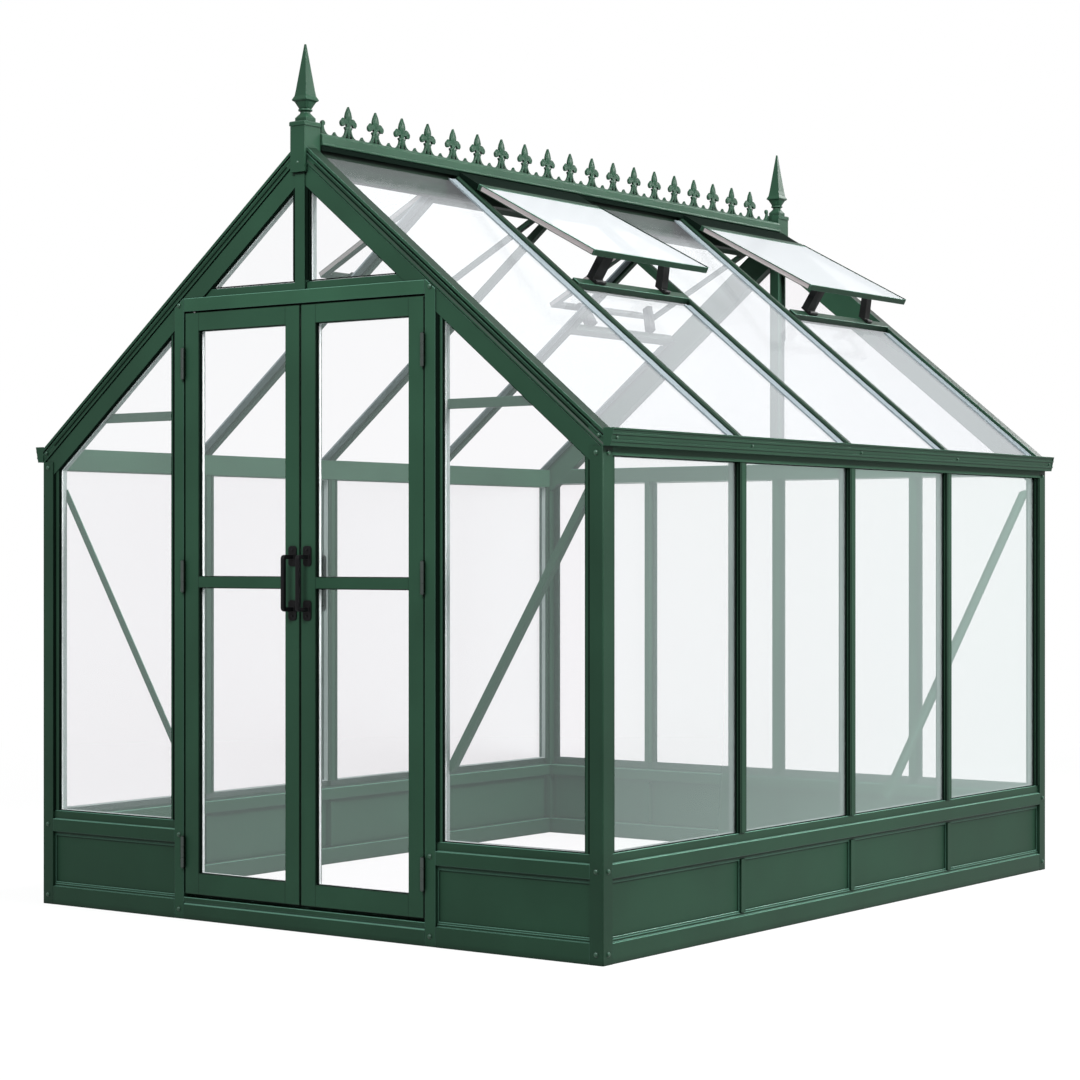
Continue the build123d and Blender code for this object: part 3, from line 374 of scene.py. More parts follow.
BAY = 0.720
BAR = 0.012
POST_IN = 1.475
POST_SIDE = 1.170
JAMB = 0.571
side_bays = ((-POST_IN, -BAY - BAR), (-BAY + BAR, -BAR), (BAR, BAY - BAR), (BAY + BAR, POST_IN))
rear_bays = ((-POST_SIDE, -0.662), (-0.638, -BAR), (BAR, 0.638), (0.662, POST_SIDE))
front_bays = ((-POST_SIDE, -JAMB), (JAMB, POST_SIDE))
for wall, spans in (("right", side_bays), ("left", side_bays), ("rear", rear_bays), ("front", front_bays)):
    for index, (low, high) in enumerate(spans):
        panel_bead(f"{wall}_panel_bead_{index + 1}", wall, (low + high) / 2, high - low, 0.075, 0.250)

# ---- side walls, eaves and gutters ---------------------------------------------------------
# Extruded glazing bars stand between the dwarf wall and the eaves beam. A ribbed gutter is
# screwed along the outside of each eaves beam at every bar.
# The bars' and studs' rounded edges take the painted shade coat.
for name in ("side_wall_bars", "rear_wall_studs"):
    finish_node(name, frame_green, 0.0012, painted_shade_coat)
# A lighter copy of the coat whose corner shade counts only its own mesh: painted light on the beam in the
# gutter's shadow.
eaves_painted_light_green = powder_coat("eaves_painted_light_green", tuple(c * 1.3 for c in GREEN), 0.46)
eaves_painted_light_green.node_tree.nodes["Ambient Occlusion"].only_local = True
finish_node("eaves_beams", eaves_painted_light_green, 0.0015)
finish_node("rear_tie_beam", frame_green, 0.0015, edge_highlight_green)
finish_node("gutters", frame_green, 0.0012, edge_highlight_green)
screws = []
for hand in (-1, 1):
    for y in (-1.495, -BAY, 0.0, BAY, 1.495):
        screws.append(((hand * 1.2505, y, 1.598), (hand, 0, -0.17)))
screw = dome_bolt(0.0065, 0.004, bolt_painted_highlight_green)
set_in_place(screw, "gutter_screws", screws, "greenhouse")
tie_bolts = [((x, POST_IN, 1.600), (0, -1, 0)) for x in (-0.65, 0.0, 0.65)]
set_in_place(screw, "tie_beam_bolts", tie_bolts, "greenhouse")

# ---- gable rafters and posts ---------------------------------------------------------------
# Ribbed barge sections run from the finial block down to the corner posts. The king post and
# the rails stiffen the gable glass, and a screw pins each rafter's foot to its post.
# A lighter copy of the coat whose corner shade counts only its own mesh: painted light on the rails and
# braces seen through the glass.
inner_painted_light_green = powder_coat("inner_painted_light_green", tuple(c * 1.1 for c in GREEN), 0.42)
inner_painted_light_green.node_tree.nodes["Ambient Occlusion"].only_local = True
finish_node("king_posts", frame_green, 0.0014, edge_highlight_green)
finish_node("gable_rails", inner_painted_light_green, 0.0014, edge_highlight_green)
# The rafters' upward faces are darker: painted shade.
rafter_shaded_top_green = powder_coat("rafter_shaded_top_green", GREEN, 0.42, tuple(c * 0.40 for c in GREEN))
finish_node("gable_rafters", rafter_shaded_top_green, 0.0013, edge_highlight_green)
rafter_screws = []
for hand in (-1, 1):
    for end in (-1, 1):
        rafter_screws.append(((hand * 1.203, end * front_y, 1.606), (0, end, 0)))
set_in_place(screw, "rafter_foot_screws", rafter_screws, "greenhouse")

# ---- roof bars and ridge -------------------------------------------------------------------
# Glazing bars lie in both slopes and hook over the ridge beam, which a cap covers. Under the cap
# the slopes are closed by a strip coloured black as painted shade, and the bars and the ridge beam
# are darker copies of the coat, also painted shade.
# The bars are a darker copy of the coat, darker again on top, with painted shade on their edges too.
bar_painted_shade_green = powder_coat("roof_bar_green", tuple(c * 0.62 for c in GREEN), 0.46,
                        tuple(c * 0.42 for c in GREEN))
finish_node("roof_bars", bar_painted_shade_green, 0.0014, painted_shade_coat)
# The ridge beam is a much darker copy of the coat: painted shade under the cap.
finish_node("ridge_beam", powder_coat("ridge_painted_shade_green", tuple(c * 0.35 for c in GREEN), 0.5), 0.0014)
finish_node("ridge_cap", frame_green, 0.0018)


def rubber(name, colour):
    """Moulded rubber or silicone: dull, with a fine pitted skin."""
    material = bpy.data.materials.new(name)
    material.use_nodes = True
    tree = material.node_tree
    surface = tree.nodes["Principled BSDF"]
    surface.inputs["Specular IOR Level"].default_value = 0.02
    place = tree.nodes.new("ShaderNodeTexCoord")
    pits = tree.nodes.new("ShaderNodeTexNoise")
    pits.inputs["Scale"].default_value = 160
    pits.inputs["Detail"].default_value = 3
    tree.links.new(place.outputs["Object"], pits.inputs["Vector"])
    tone = tree.nodes.new("ShaderNodeValToRGB")
    tone.color_ramp.elements[0].color = [c * 0.8 for c in colour] + [1]
    tone.color_ramp.elements[1].color = [c * 1.2 for c in colour] + [1]
    tree.links.new(pits.outputs["Fac"], tone.inputs["Fac"])
    tree.links.new(tone.outputs["Color"], surface.inputs["Base Color"])
    surface.inputs["Roughness"].default_value = 0.85
    relief = tree.nodes.new("ShaderNodeBump")
    relief.inputs["Strength"].default_value = 0.2
    relief.inputs["Distance"].default_value = 0.0004
    tree.links.new(pits.outputs["Fac"], relief.inputs["Height"])
    tree.links.new(relief.outputs["Normal"], surface.inputs["Normal"])
    return material


# Near-black rubber colour. The vents' drip strips are rubber; the glazing rings, nib strips, rafter groove
# lines, strips beside the roof bars and the strip under the ridge cap use it as painted shade.
black_seal_and_painted_shade = rubber("black_seal_and_painted_shade", (0.0016, 0.0045, 0.0030))
# The strip under the cap is coloured near-black: painted shade.
finish_node("ridge_side_rails", black_seal_and_painted_shade, 0.001)

# ---- ridge cresting ------------------------------------------------------------------------
# Cast aluminium strip with nineteen fleurs-de-lis. The casting is worked in relief: a ridged
# spear, rolled petals, a collar and a rib down each stem.
cast_green = powder_coat("cast_green", tuple(c * 0.92 for c in GREEN), 0.40)
finish_node("ridge_cresting", cast_green, 0.0022)
CAP_TOP = 2.640
FLEUR_COUNT = 19
CREST_END = 1.423
FLEUR_PITCH = 2 * CREST_END / (FLEUR_COUNT + 1)


def spear():
    """Four-sided blade with a ridge down its middle, drawn in to a point."""
    bpy.ops.mesh.primitive_cylinder_add(vertices=4, radius=1, depth=0.016,
                                        location=(0, 0, CAP_TOP + 0.066))
    blade = bpy.context.object
    blade.scale = (0.0065, 0.0115, 1)
    bpy.ops.object.transform_apply(location=True, rotation=True, scale=True)
    middle = (0, 0, CAP_TOP)
    for rise, wide in ((0.0, 1.3), (0.007, 1.02), (0.012, 0.72), (0.0195, 0.06)):
        pick_faces(blade, lambda face: face.normal.z > 0.9)
        if rise:
            bpy.ops.mesh.extrude_region_move(TRANSFORM_OT_translate={"value": (0, 0, rise)})
        bpy.ops.transform.resize(value=(wide, wide, 1), center_override=middle)
        bpy.ops.object.mode_set(mode="OBJECT")
    return blade


def rolled_petal(hand):
    """Side petal that leaves the collar upwards and rolls outwards and down to a bead."""
    bpy.ops.mesh.primitive_torus_add(
        major_segments=14, minor_segments=6, major_radius=0.0098, minor_radius=0.0046,
        location=(0, hand * 0.0255, CAP_TOP + 0.0545), rotation=(0, radians(90), 0))
    petal = bpy.context.object
    petal.scale = (1.35, 1, 1)
    bpy.ops.object.transform_apply(location=True, rotation=True, scale=True)
    pick_faces(petal, lambda face: True)
    bpy.ops.mesh.bisect(plane_co=(0, hand * 0.0235, CAP_TOP + 0.0500), plane_no=(0, hand * -0.35, -1),
                        clear_outer=True, use_fill=True)
    bpy.ops.object.mode_set(mode="OBJECT")
    pick_faces(petal, lambda face: face.center.y * hand > 0.030 and face.center.z < CAP_TOP + 0.056)
    bpy.ops.transform.resize(value=(1.25, 1.2, 1.1))
    bpy.ops.object.mode_set(mode="OBJECT")
    return petal


def stem():
    """Foot rib and collar of one fleur-de-lis."""
    bpy.ops.mesh.primitive_cylinder_add(vertices=8, radius=1, depth=0.034, location=(0, 0, CAP_TOP + 0.021))
    rib = bpy.context.object
    rib.scale = (0.0065, 0.0042, 1)
    bpy.ops.object.transform_apply(location=True, rotation=True, scale=True)
    pick_faces(rib, lambda face: face.normal.z > 0.9)
    bpy.ops.transform.resize(value=(1, 1.9, 1))
    for rise, wide in ((0.0005, 2.1), (0.004, 1.0), (0.002, 0.5), (0.012, 0.8)):
        bpy.ops.mesh.extrude_region_move(TRANSFORM_OT_translate={"value": (0, 0, rise)})
        bpy.ops.transform.resize(value=(1.0 if wide > 1 else max(wide, 0.8), wide, 1))
    bpy.ops.object.mode_set(mode="OBJECT")
    return rib


bpy.ops.object.select_all(action="DESELECT")
parts = [spear(), rolled_petal(-1), rolled_petal(1), stem()]
bpy.ops.object.select_all(action="DESELECT")
for part in parts:
    part.select_set(True)
bpy.context.view_layer.objects.active = parts[0]
bpy.ops.object.join()
fleur = bpy.context.object
bpy.ops.object.shade_smooth_by_angle(angle=radians(50))
fleur.data.materials.append(cast_green)
fleurs = []
for index in range(FLEUR_COUNT):
    copy = fleur.copy()
    copy.data = fleur.data.copy()
    bpy.context.collection.objects.link(copy)
    copy.location = (0, (index - (FLEUR_COUNT - 1) / 2) * FLEUR_PITCH, 0)
    fleurs.append(copy)
bpy.data.objects.remove(fleur)
join_pieces(fleurs, "cresting_relief", "greenhouse")

# ---- finials -------------------------------------------------------------------------------
# Cast block on the king post with a plinth, turned neck, square cup and tapered spire. A small
# screw in its face fixes it to the ridge.
finish_node("finials", cast_green, 0.0015, edge_highlight_green)
block_screws = [((0, end * 1.5353, 2.536), (0, end, 0)) for end in (-1, 1)]
set_in_place(screw, "finial_block_screws", block_screws, "greenhouse")

# ---- doorway frame and braces --------------------------------------------------------------
# Jambs, header and sill of the doorway, bolted to the dwarf wall and the rafters. Flat steel
# braces cross the front corners and the rear of the right side wall, inside the glass.
# The jambs take a lighter copy of the coat: painted light.
jamb_painted_light_green = powder_coat("jamb_painted_light_green", tuple(c * 1.25 for c in GREEN), 0.42)
finish_node("door_jambs", jamb_painted_light_green, 0.0018, edge_highlight_green)
finish_node("door_sill", frame_green, 0.0018, edge_highlight_green)
# The header takes a lighter copy still: painted light.
header_painted_light_green = powder_coat("header_painted_light_green", tuple(c * 1.5 for c in GREEN), 0.42)
finish_node("door_header", header_painted_light_green, 0.0018, edge_highlight_green)
finish_node("wall_braces", inner_painted_light_green, 0.001, edge_highlight_green)


def brace_leg(start, end, inward, edge, name):
    """Standing leg that makes an angle section of a brace, folded inwards along one edge."""
    run = Vector(end) - Vector(start)
    middle = (Vector(start) + Vector(end)) / 2 + Vector(edge) * 0.0115 + Vector(inward) * 0.0105
    bpy.ops.object.select_all(action="DESELECT")
    bpy.ops.mesh.primitive_cube_add(size=1, location=(0, 0, 0))
    leg = bpy.context.object
    leg.scale = (run.length, 0.003, 0.021)
    bpy.ops.object.transform_apply(location=True, rotation=True, scale=True)
    pick_faces(leg, lambda face: face.normal.z > 0.9)
    bpy.ops.transform.resize(value=(0.985, 1, 1))
    bpy.ops.mesh.bevel(offset=0.001, segments=1)
    bpy.ops.object.mode_set(mode="OBJECT")
    along = run.normalized()
    across = Vector(inward).cross(along)
    leg.rotation_euler = Matrix((along, across, Vector(inward))).transposed().to_euler()
    leg.location = middle
    leg.data.materials.append(inner_painted_light_green)
    return finish_piece(leg, name, "greenhouse")


for hand, side in ((-1, "left"), (1, "right")):
    brace_leg((hand * 1.152, -1.479, 1.470), (hand * 0.593, -1.479, 0.560), (0, 1, 0),
              (hand * 0.852, 0, -0.523), f"front_{side}_brace_leg")
brace_leg((1.170, 1.455, 1.490), (1.170, 0.330, 0.360), (-1, 0, 0), (0, -0.709, 0.705), "side_brace_leg")
jamb_bolts = []
for hand in (-1, 1):
    for z in (0.033, 0.287, 2.095):
        jamb_bolts.append(((hand * 0.5495, -front_y, z), (0, -1, 0)))
set_in_place(bolt, "jamb_bolts", jamb_bolts, "greenhouse")
bpy.data.objects.remove(bolt)
bpy.data.objects.remove(screw)


# ---- wall glass ----------------------------------------------------------------------------
# Clear toughened panes. A black ring round each pane outside is painted shade at the glass's
# edge, and a pale silicone strip holds it inside.
def pane_glass(name, haze, edge_on, blur, body, shine, bloom=None, sheltered=1.0):
    """Clear glass that mirrors the pale surround once a pane, more where it is seen edge on.
    A bloom is the film that daylight makes white on the upper side of a sloping pane. It is
    thinner, by the last number, where the ridge shelters the glass."""
    material = bpy.data.materials.new(name)
    material.use_nodes = True
    tree = material.node_tree
    tree.nodes.clear()
    output = tree.nodes.new("ShaderNodeOutputMaterial")
    clear = tree.nodes.new("ShaderNodeBsdfTransparent")
    clear.inputs["Color"].default_value = body
    mirror = tree.nodes.new("ShaderNodeBsdfGlossy")
    mirror.inputs["Roughness"].default_value = blur
    mirror.inputs["Color"].default_value = shine
    slant = tree.nodes.new("ShaderNodeLayerWeight")
    slant.inputs["Blend"].default_value = 0.5
    power = tree.nodes.new("ShaderNodeMath")
    power.operation = "POWER"
    power.inputs[1].default_value = 3.0
    tree.links.new(slant.outputs["Facing"], power.inputs[0])
    scale = tree.nodes.new("ShaderNodeMath")
    scale.operation = "MULTIPLY_ADD"
    scale.inputs[1].default_value = edge_on
    scale.inputs[2].default_value = haze
    tree.links.new(power.outputs[0], scale.inputs[0])
    side = tree.nodes.new("ShaderNodeNewGeometry")
    front = tree.nodes.new("ShaderNodeMath")
    front.operation = "SUBTRACT"
    front.inputs[0].default_value = 1.0
    tree.links.new(side.outputs["Backfacing"], front.inputs[1])
    once = tree.nodes.new("ShaderNodeMath")
    once.operation = "MULTIPLY"
    once.use_clamp = True
    tree.links.new(scale.outputs[0], once.inputs[0])
    tree.links.new(front.outputs[0], once.inputs[1])
    mix = tree.nodes.new("ShaderNodeMixShader")
    tree.links.new(once.outputs[0], mix.inputs[0])
    tree.links.new(clear.outputs[0], mix.inputs[1])
    tree.links.new(mirror.outputs[0], mix.inputs[2])
    if bloom:
        film = tree.nodes.new("ShaderNodeBsdfDiffuse")
        film.inputs["Color"].default_value = bloom
        place = tree.nodes.new("ShaderNodeTexCoord")
        level = tree.nodes.new("ShaderNodeSeparateXYZ")
        tree.links.new(place.outputs["Object"], level.inputs[0])
        washed = tree.nodes.new("ShaderNodeMapRange")
        washed.inputs["From Min"].default_value = 2.42
        washed.inputs["From Max"].default_value = 2.50
        washed.inputs["To Min"].default_value = 1.0
        washed.inputs["To Max"].default_value = sheltered
        tree.links.new(level.outputs["Z"], washed.inputs["Value"])
        cover = tree.nodes.new("ShaderNodeMixShader")
        cover.inputs[0].default_value = 0.12
        tree.links.new(film.outputs[0], cover.inputs[1])
        tree.links.new(mirror.outputs[0], cover.inputs[2])
        tree.links.new(cover.outputs[0], mix.inputs[2])
        facing = tree.nodes.new("ShaderNodeSeparateXYZ")
        tree.links.new(side.outputs["Normal"], facing.inputs[0])
        upper = tree.nodes.new("ShaderNodeMath")
        upper.operation = "GREATER_THAN"
        upper.inputs[1].default_value = 0.1
        tree.links.new(facing.outputs["Z"], upper.inputs[0])
        filmed = tree.nodes.new("ShaderNodeMath")
        filmed.operation = "MULTIPLY"
        tree.links.new(upper.outputs[0], filmed.inputs[0])
        tree.links.new(washed.outputs["Result"], filmed.inputs[1])
        total = tree.nodes.new("ShaderNodeMath")
        total.operation = "MULTIPLY"
        tree.links.new(once.outputs[0], total.inputs[0])
        tree.links.new(filmed.outputs[0], total.inputs[1])
        tree.links.new(total.outputs[0], mix.inputs[0])
    tree.links.new(mix.outputs[0], output.inputs["Surface"])
    return material


wall_glass = pane_glass("wall_glass", 0.105, 1.55, 0.30, (0.988, 0.972, 0.982, 1), (0.82, 1.0, 0.95, 1))
for name in ("front_wall_glass", "side_wall_glass", "rear_wall_glass", "gable_glass"):
    finish_node(name, wall_glass)


def seal_ring(place, turn, width, height, thick, depth, material, cuts=()):
    """Rubber ring round an opening: a flat sheet cut to shape, opened out and given its depth."""
    bpy.ops.object.select_all(action="DESELECT")
    bpy.ops.mesh.primitive_plane_add(size=1, location=place, rotation=turn)
    ring = bpy.context.object
    ring.scale = (width, height, 1)
    bpy.ops.object.transform_apply(location=True, rotation=True, scale=True)
    for point, away in cuts:
        pick_faces(ring, lambda face: True)
        bpy.ops.mesh.bisect(plane_co=point, plane_no=away, clear_outer=True)
        bpy.ops.object.mode_set(mode="OBJECT")
    pick_faces(ring, lambda face: True)
    bpy.ops.mesh.inset(thickness=thick)
    bpy.ops.mesh.delete(type="FACE")
    bpy.ops.object.mode_set(mode="OBJECT")
    outward = Vector(ring.data.polygons[0].normal)
    pick_faces(ring, lambda face: True)
    bpy.ops.mesh.extrude_region_move(TRANSFORM_OT_translate={"value": outward * depth})
    bpy.ops.mesh.select_all(action="SELECT")
    bpy.ops.mesh.normals_make_consistent(inside=False)
    bpy.ops.object.mode_set(mode="OBJECT")
    ring.data.materials.append(material)
    return ring


def strip_between(low, high, material, out, cuts=()):
    """Straight strip between two corners: cut to length and grooved along its outer face."""
    centre = [(a + b) / 2 for a, b in zip(low, high)]
    bpy.ops.object.select_all(action="DESELECT")
    bpy.ops.mesh.primitive_cube_add(size=1, location=centre)
    strip = bpy.context.object
    strip.scale = [abs(b - a) for a, b in zip(low, high)]
    bpy.ops.object.transform_apply(location=True, rotation=True, scale=True)
    for point, away in cuts:
        pick_faces(strip, lambda face: True)
        bpy.ops.mesh.bisect(plane_co=point, plane_no=away, clear_outer=True, use_fill=True)
        bpy.ops.object.mode_set(mode="OBJECT")
    facing = Vector(out)
    pick_faces(strip, lambda face: face.normal.dot(facing) > 0.9)
    bpy.ops.mesh.inset(thickness=min(abs(high[0] - low[0]), abs(high[1] - low[1])) * 0.3)
    bpy.ops.transform.translate(value=facing * -0.0008)
    bpy.ops.object.mode_set(mode="OBJECT")
    strip.data.materials.append(material)
    return strip


def rebates(index):
    """Rebates at the near and the far edge of a bay in a row of four, deeper against a post."""
    return (0.022 if index == 0 else 0.014, 0.022 if index == 3 else 0.014)


pale_silicone = rubber("pale_silicone", (0.60, 0.63, 0.62))
grey_silicone = rubber("grey_silicone", (0.22, 0.245, 0.24))
FOOT = 0.335
EAVES = 1.546
NIB_FACE = 0.008
for wall, hand in (("right", 1), ("left", -1)):
    outer_rings = []
    inner_rings = []
    shade_strips = []
    flanges = []
    for index, (low, high) in enumerate(side_bays):
        near, far = rebates(index)
        middle = (low + near + high - far) / 2
        clear = high - low - near - far
        place, turn = wall_place(wall, middle, (FOOT + EAVES) / 2, 0.017)
        # The outer black ring is painted shade at the glass's edge.
        outer_rings.append(seal_ring(place, turn, clear, EAVES - FOOT, 0.0025, 0.004, black_seal_and_painted_shade))
        place, turn = wall_place(wall, middle, (FOOT + EAVES) / 2, 0.040)
        inner_rings.append(seal_ring(place, turn, clear, EAVES - FOOT, 0.003, 0.018, grey_silicone))
        # Strips on the nib beside each bar, a darker green one and a black one: painted shade.
        face = hand * (side_x - NIB_FACE)
        shade_strips.append(strip_between((face, high - 0.008, FOOT), (face + hand * 0.0045, high, EAVES),
                                     painted_shade_coat, (hand, 0, 0)))
        shade_strips.append(strip_between((face, high - far + 0.0005, FOOT),
                                     (face + hand * 0.0015, high - 0.0082, EAVES),
                                     black_seal_and_painted_shade, (hand, 0, 0)))
        # The bars' back flanges take the painted shade coat.
        back = hand * (side_x - 0.042)
        for edge, reach in ((low + near, 0.012), (high - far, -0.012)):
            flanges.append(strip_between((back, edge, FOOT), (back - hand * 0.004, edge - reach, EAVES),
                                         painted_shade_coat, (-hand, 0, 0)))
    join_pieces(outer_rings, f"{wall}_glazing_shade_rings", "greenhouse")
    join_pieces(inner_rings, f"{wall}_inner_strips", "greenhouse")
    join_pieces(shade_strips, f"{wall}_nib_gaskets", "greenhouse")
    join_pieces(flanges, f"{wall}_bar_flanges", "greenhouse")

PITCH = atan(0.81)
RIDGE = 2.610
RAFTER_DEPTH = 0.105
rafter_under = RIDGE - RAFTER_DEPTH / cos(PITCH)
for hand in (-1, 1):
    cut = (((0, -front_y, rafter_under), (hand * sin(PITCH), 0, cos(PITCH))),)
    side = "left" if hand < 0 else "right"
    sheets = ((hand * 0.8705, 1.3, 0.555, 1.930), (hand * 0.2755, 2.4, 0.485, 0.510))
    outer = []
    inner = []
    for middle, height, width, tall in sheets:
        place, turn = wall_place("front", middle, height, 0.017)
        outer.append(seal_ring(place, turn, width, tall, 0.003, 0.007, black_seal_and_painted_shade, cut))
        place, turn = wall_place("front", middle, height, 0.027)
        inner.append(seal_ring(place, turn, width, tall, 0.0025, 0.005, pale_silicone, cut))
        place, turn = wall_place("front", middle, height, 0.044)
        inner.append(seal_ring(place, turn, width, tall, 0.003, 0.017, grey_silicone, cut))
    join_pieces(outer, f"front_{side}_glazing_shade_rings", "greenhouse")
    join_pieces(inner, f"front_{side}_inner_strips", "greenhouse")
    # Black strips on the nibs beside the posts, the jambs and the king post: painted shade.
    face = NIB_FACE - front_y
    shade_strips = []
    for edge, reach, low, high in ((POST_SIDE, -0.007, FOOT, 1.640), (JAMB, 0.012, FOOT, 2.100),
                                   (0.023, 0.0095, 2.150, 2.480)):
        shade_strips.append(strip_between((hand * edge, face, low), (hand * (edge + reach), face - 0.0045, high),
                                     black_seal_and_painted_shade, (0, -1, 0), cut))
    join_pieces(shade_strips, f"front_{side}_nib_gaskets", "greenhouse")

TIE_FOOT = 1.559
rear_rings = []
for index, (low, high) in enumerate(rear_bays):
    near, far = rebates(index)
    place, turn = wall_place("rear", (low + near + high - far) / 2, (FOOT + TIE_FOOT) / 2, 0.017)
    clear = high - low - near - far
    rear_rings.append(seal_ring(place, turn, clear, TIE_FOOT - FOOT, 0.003, 0.010, black_seal_and_painted_shade))
join_pieces(rear_rings, "rear_glazing_shade_rings", "greenhouse")

# ---- roof glass ----------------------------------------------------------------------------
# Toughened panes lie in the slopes between the bars. Along each pane run a black strip, painted
# shade beside the bar, and a wider pale one, a painted reflection of the bar in the glass, both
# pressed on from above. A thin film on the glass turns white in daylight.
roof_pane = pane_glass("roof_pane_glass", 0.20, 0.95, 0.10, (0.996, 0.999, 1.0, 1), (0.94, 0.99, 1.0, 1),
                       (0.27, 0.28, 0.29, 1), 0.25)
finish_node("roof_glass", roof_pane)
# Pale blue-grey strip beside each bar: a painted reflection of the bar in the glass.
painted_reflection_grey = rubber("painted_reflection_grey", (0.144, 0.170, 0.183))
DOWN = 1.220 / cos(PITCH)


def slope_place(hand, s, y, n):
    """World place of a point s down a slope from the ridge line and n above its plane."""
    return (hand * (s * cos(PITCH) + n * sin(PITCH)), y, RIDGE - s * sin(PITCH) + n * cos(PITCH))


def grooved_bar(place, turn, size, wanted, lip, groove, material):
    """Straight bar, turned about the length of the house, with a shallow groove in some faces."""
    bpy.ops.object.select_all(action="DESELECT")
    bpy.ops.mesh.primitive_cube_add(size=1, location=place, rotation=(0, turn, 0))
    bar = bpy.context.object
    bar.scale = size
    bpy.ops.object.transform_apply(location=True, rotation=True, scale=True)
    pick_faces(bar, wanted)
    bpy.ops.mesh.inset(thickness=lip, depth=-groove)
    bpy.ops.object.mode_set(mode="OBJECT")
    bar.data.materials.append(material)
    return bar


# Black lines laid in the rafters' grooves: painted shade.
SEAM_MIDDLE = 0.810
for hand in (-1, 1):
    groove_shade_lines = []
    for end in (-1, 1):
        for below, depth in ((0.0120, 0.0060), (0.0280, 0.0024), (0.0440, 0.0072)):
            groove_shade_lines.append(grooved_bar(slope_place(hand, SEAM_MIDDLE, end * (front_y - depth), -below),
                                     hand * PITCH, (1.420, 0.0016, 0.0034),
                                     lambda face: face.normal.y * end > 0.9, 0.0008, 0.0004, black_seal_and_painted_shade))
    side = "left" if hand < 0 else "right"
    join_pieces(groove_shade_lines, f"{side}_rafter_seams", "greenhouse")
    # Beside each bar a black strip is painted shade and a pale strip is a painted reflection of the bar.
    wings = []
    for index, (low, high) in enumerate(side_bays):
        head = 0.048 if index % 2 == 0 else 0.715
        for edge, wide, rest in ((low + 0.0075, 0.013, black_seal_and_painted_shade), (high - 0.020, 0.038, painted_reflection_grey)):
            wings.append(grooved_bar(slope_place(hand, (head + DOWN) / 2, edge, -0.0145), hand * PITCH,
                                     (DOWN - head, wide, 0.006), lambda face: face.normal.z > 0.6,
                                     0.003, 0.001, rest))
    join_pieces(wings, f"{side}_roof_shade_and_reflection_strips", "greenhouse")

# ---- roof vents ----------------------------------------------------------------------------
# Four vents with a slim frame round one pane, hinged under the ridge cap and propped on black
# brackets that stand on a cill between two roof bars. Bare aluminium strips close their sides,
# and a rubber drip strip lies along the far edge.
vent_pane = pane_glass("vent_pane_glass", 0.52, 0.60, 0.20, (0.996, 0.999, 1.0, 1), (0.94, 0.99, 1.0, 1),
                       (0.29, 0.30, 0.31, 1))
finish_node("roof_vent_glass", vent_pane)
# The vents' frames and cills take the painted shade coat.
finish_node("roof_vent_frames", painted_shade_coat, 0.0012, edge_highlight_green)
finish_node("roof_vent_cills", painted_shade_coat, 0.0012, edge_highlight_green)
bracket_black = powder_coat("bracket_black", (0.0035, 0.004, 0.004), 0.45)
finish_node("roof_vent_stays", bracket_black, 0.003)
mill_grey = powder_coat("mill_grey", (0.20, 0.182, 0.182), 0.5)
VENT_OPEN = radians(11)
VENT_MIDDLE = 0.290
TILT = PITCH - VENT_OPEN


def vent_place(hand, y, n):
    """World place of a point half way down a propped vent and n above its underside."""
    hinge = slope_place(hand, 0.140, y, 0.008)
    return (hinge[0] + hand * (VENT_MIDDLE * cos(TILT) + n * sin(TILT)), y,
            hinge[2] - VENT_MIDDLE * sin(TILT) + n * cos(TILT))


for hand, side in ((-1, "left"), (1, "right")):
    for row, (low, high) in enumerate(((-BAY, -0.004), (BAY, 1.484))):
        trims = []
        for y in (low - 0.001, high + 0.001):
            trims.append(grooved_bar(vent_place(hand, y, 0.011), hand * TILT, (0.540, 0.003, 0.015),
                                     lambda face: abs(face.normal.y) > 0.9, 0.003, 0.0008, mill_grey))
        join_pieces(trims, f"{side}_vent_side_strips_{row + 1}", "greenhouse")
        drip = grooved_bar(vent_place(hand, high - 0.0030, 0.0228), hand * TILT, (0.545, 0.006, 0.002),
                           lambda face: face.normal.z > 0.6, 0.0015, 0.0005, black_seal_and_painted_shade)
        finish_piece(drip, f"{side}_vent_drip_strip_{row + 1}", "greenhouse")

# ---- double doors --------------------------------------------------------------------------
# Two leaves of mitred and butted box section, each with an upper and a lower pane set in rubber;
# the black outer ring is painted shade at the glass's edge. Hairline joints show where the stiles
# meet the rails.
# The leaves take a lighter copy of the coat: painted light. The hairline joints are real dark joints.
leaf_painted_light_green = powder_coat("leaf_painted_light_green", tuple(c * 1.2 for c in GREEN), 0.42)
tree = leaf_painted_light_green.node_tree
surface = tree.nodes["Principled BSDF"]
place = tree.nodes.new("ShaderNodeTexCoord")
axes = tree.nodes.new("ShaderNodeSeparateXYZ")
tree.links.new(place.outputs["Object"], axes.inputs[0])
across = tree.nodes.new("ShaderNodeMath")
across.operation = "ABSOLUTE"
tree.links.new(axes.outputs["X"], across.inputs[0])
marks = []
for line in (0.0665, 0.4595):
    gap = tree.nodes.new("ShaderNodeMath")
    gap.operation = "COMPARE"
    gap.inputs[1].default_value = line
    gap.inputs[2].default_value = 0.0009
    tree.links.new(across.outputs[0], gap.inputs[0])
    marks.append(gap)
joint = tree.nodes.new("ShaderNodeMath")
joint.operation = "MAXIMUM"
tree.links.new(marks[0].outputs[0], joint.inputs[0])
tree.links.new(marks[1].outputs[0], joint.inputs[1])
darken = tree.nodes.new("ShaderNodeMix")
darken.data_type = "RGBA"
darken.inputs["B"].default_value = (0.003, 0.012, 0.007, 1)
tree.links.new(joint.outputs[0], darken.inputs["Factor"])
tree.links.new(surface.inputs["Base Color"].links[0].from_socket, darken.inputs["A"])
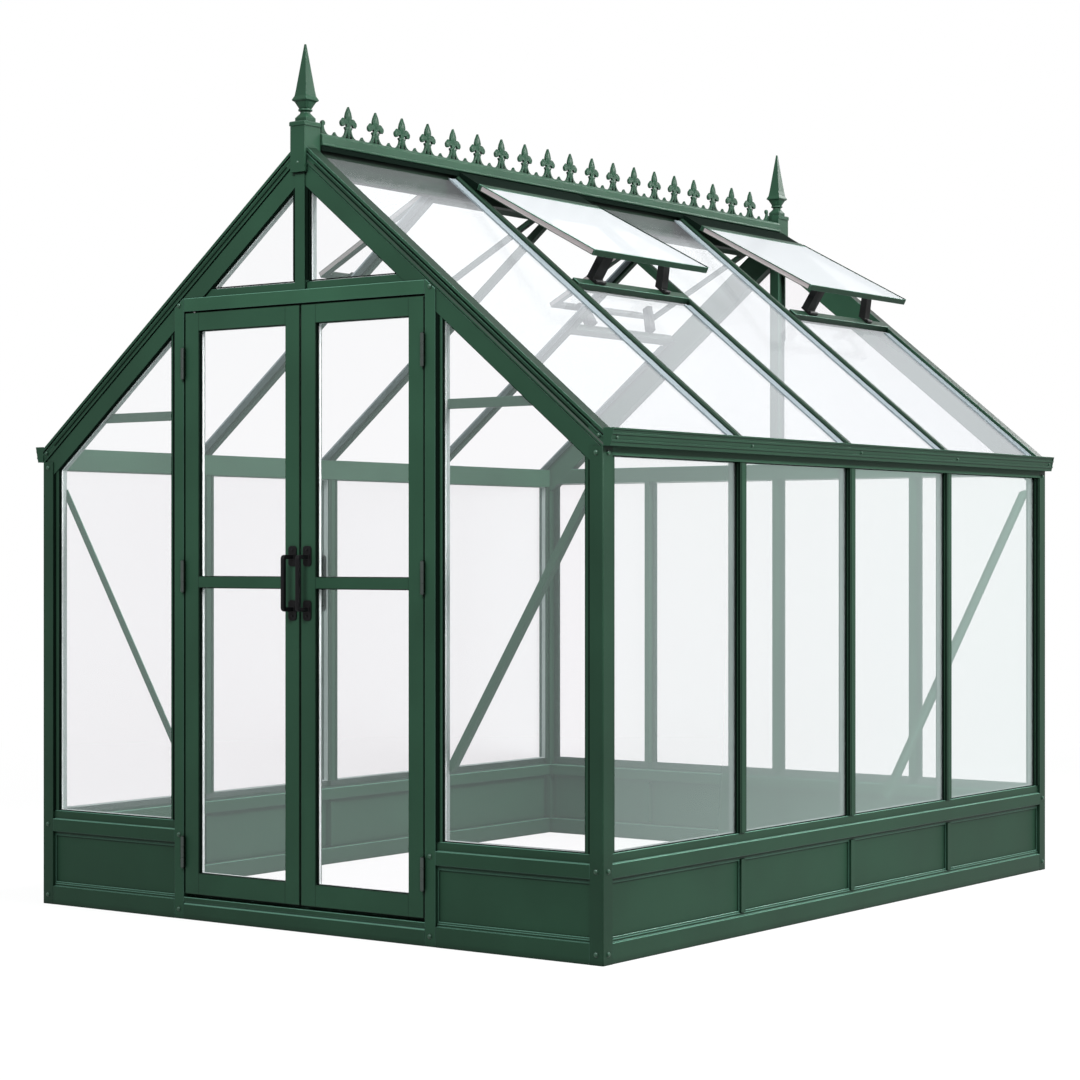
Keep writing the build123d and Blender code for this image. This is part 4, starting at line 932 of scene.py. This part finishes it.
tree.links.new(darken.outputs["Result"], surface.inputs["Base Color"])
LEAF_MIDDLE = 0.263
PANE_WIDE = 0.394
for side, hand in (("left", -1), ("right", 1)):
    # The leaves' rounded edges take the painted shade coat.
    finish_node(f"{side}_door_leaf", leaf_painted_light_green, 0.0018, painted_shade_coat)
    finish_node(f"{side}_door_glass", wall_glass)
    rings = []
    for low, high in ((0.160, 1.132), (1.170, 2.005)):
        place, turn = wall_place("front", hand * LEAF_MIDDLE, (low + high) / 2, 0.016)
        # The black outer ring is painted shade at the glass's edge.
        rings.append(seal_ring(place, turn, PANE_WIDE, high - low, 0.002, 0.008, black_seal_and_painted_shade))
        place, turn = wall_place("front", hand * LEAF_MIDDLE, (low + high) / 2, 0.0295)
        rings.append(seal_ring(place, turn, PANE_WIDE, high - low, 0.002, 0.0085, pale_silicone))
    join_pieces(rings, f"{side}_door_shade_rings_and_seals", f"{side}_door")

# ---- hinges --------------------------------------------------------------------------------
# Three brushed steel butt hinges to a leaf, their knuckles standing in the gap at the jamb,
# each pin closed by a small domed cap.
hinge_steel = powder_coat("hinge_steel", (0.06, 0.074, 0.068), 0.28)
hinge_steel.node_tree.nodes["Principled BSDF"].inputs["Metallic"].default_value = 1.0
for name in ("jamb_hinge_knuckles", "left_door_hinges", "right_door_hinges"):
    finish_node(name, hinge_steel)
PIN_X = 0.525
PIN_Y = -1.5325
HALF_HINGE = 0.052
cap = dome_bolt(0.0058, 0.004, hinge_steel)
for side, hand in (("left", -1), ("right", 1)):
    ends = []
    for z in (0.230, 1.170, 1.895):
        ends.append(((hand * PIN_X, PIN_Y, z + HALF_HINGE), (0, 0, 1)))
        ends.append(((hand * PIN_X, PIN_Y, z - HALF_HINGE), (0, 0, -1)))
    set_in_place(cap, f"{side}_hinge_caps", ends, f"{side}_door")
bpy.data.objects.remove(cap)

# ---- pull handles --------------------------------------------------------------------------
# Cast D-shaped pulls in satin black on both faces of each leaf, every plate held by one
# domed screw at its outer end.
handle_black = powder_coat("handle_black", (0.0035, 0.0035, 0.004), 0.40)
HANDLE_X = 0.032
HANDLE_Z = 1.150
SCREW_REACH = 0.109
screw = dome_bolt(0.0055, 0.003, handle_black)
for side, hand in (("left", -1), ("right", 1)):
    finish_node(f"{side}_door_handles", handle_black, 0.003)
    screws = []
    for z in (HANDLE_Z - SCREW_REACH, HANDLE_Z + SCREW_REACH):
        screws.append(((hand * HANDLE_X, -1.527, z), (0, -1, 0)))
        screws.append(((hand * HANDLE_X, -1.485, z), (0, 1, 0)))
    set_in_place(screw, f"{side}_handle_screws", screws, f"{side}_door")
bpy.data.objects.remove(screw)
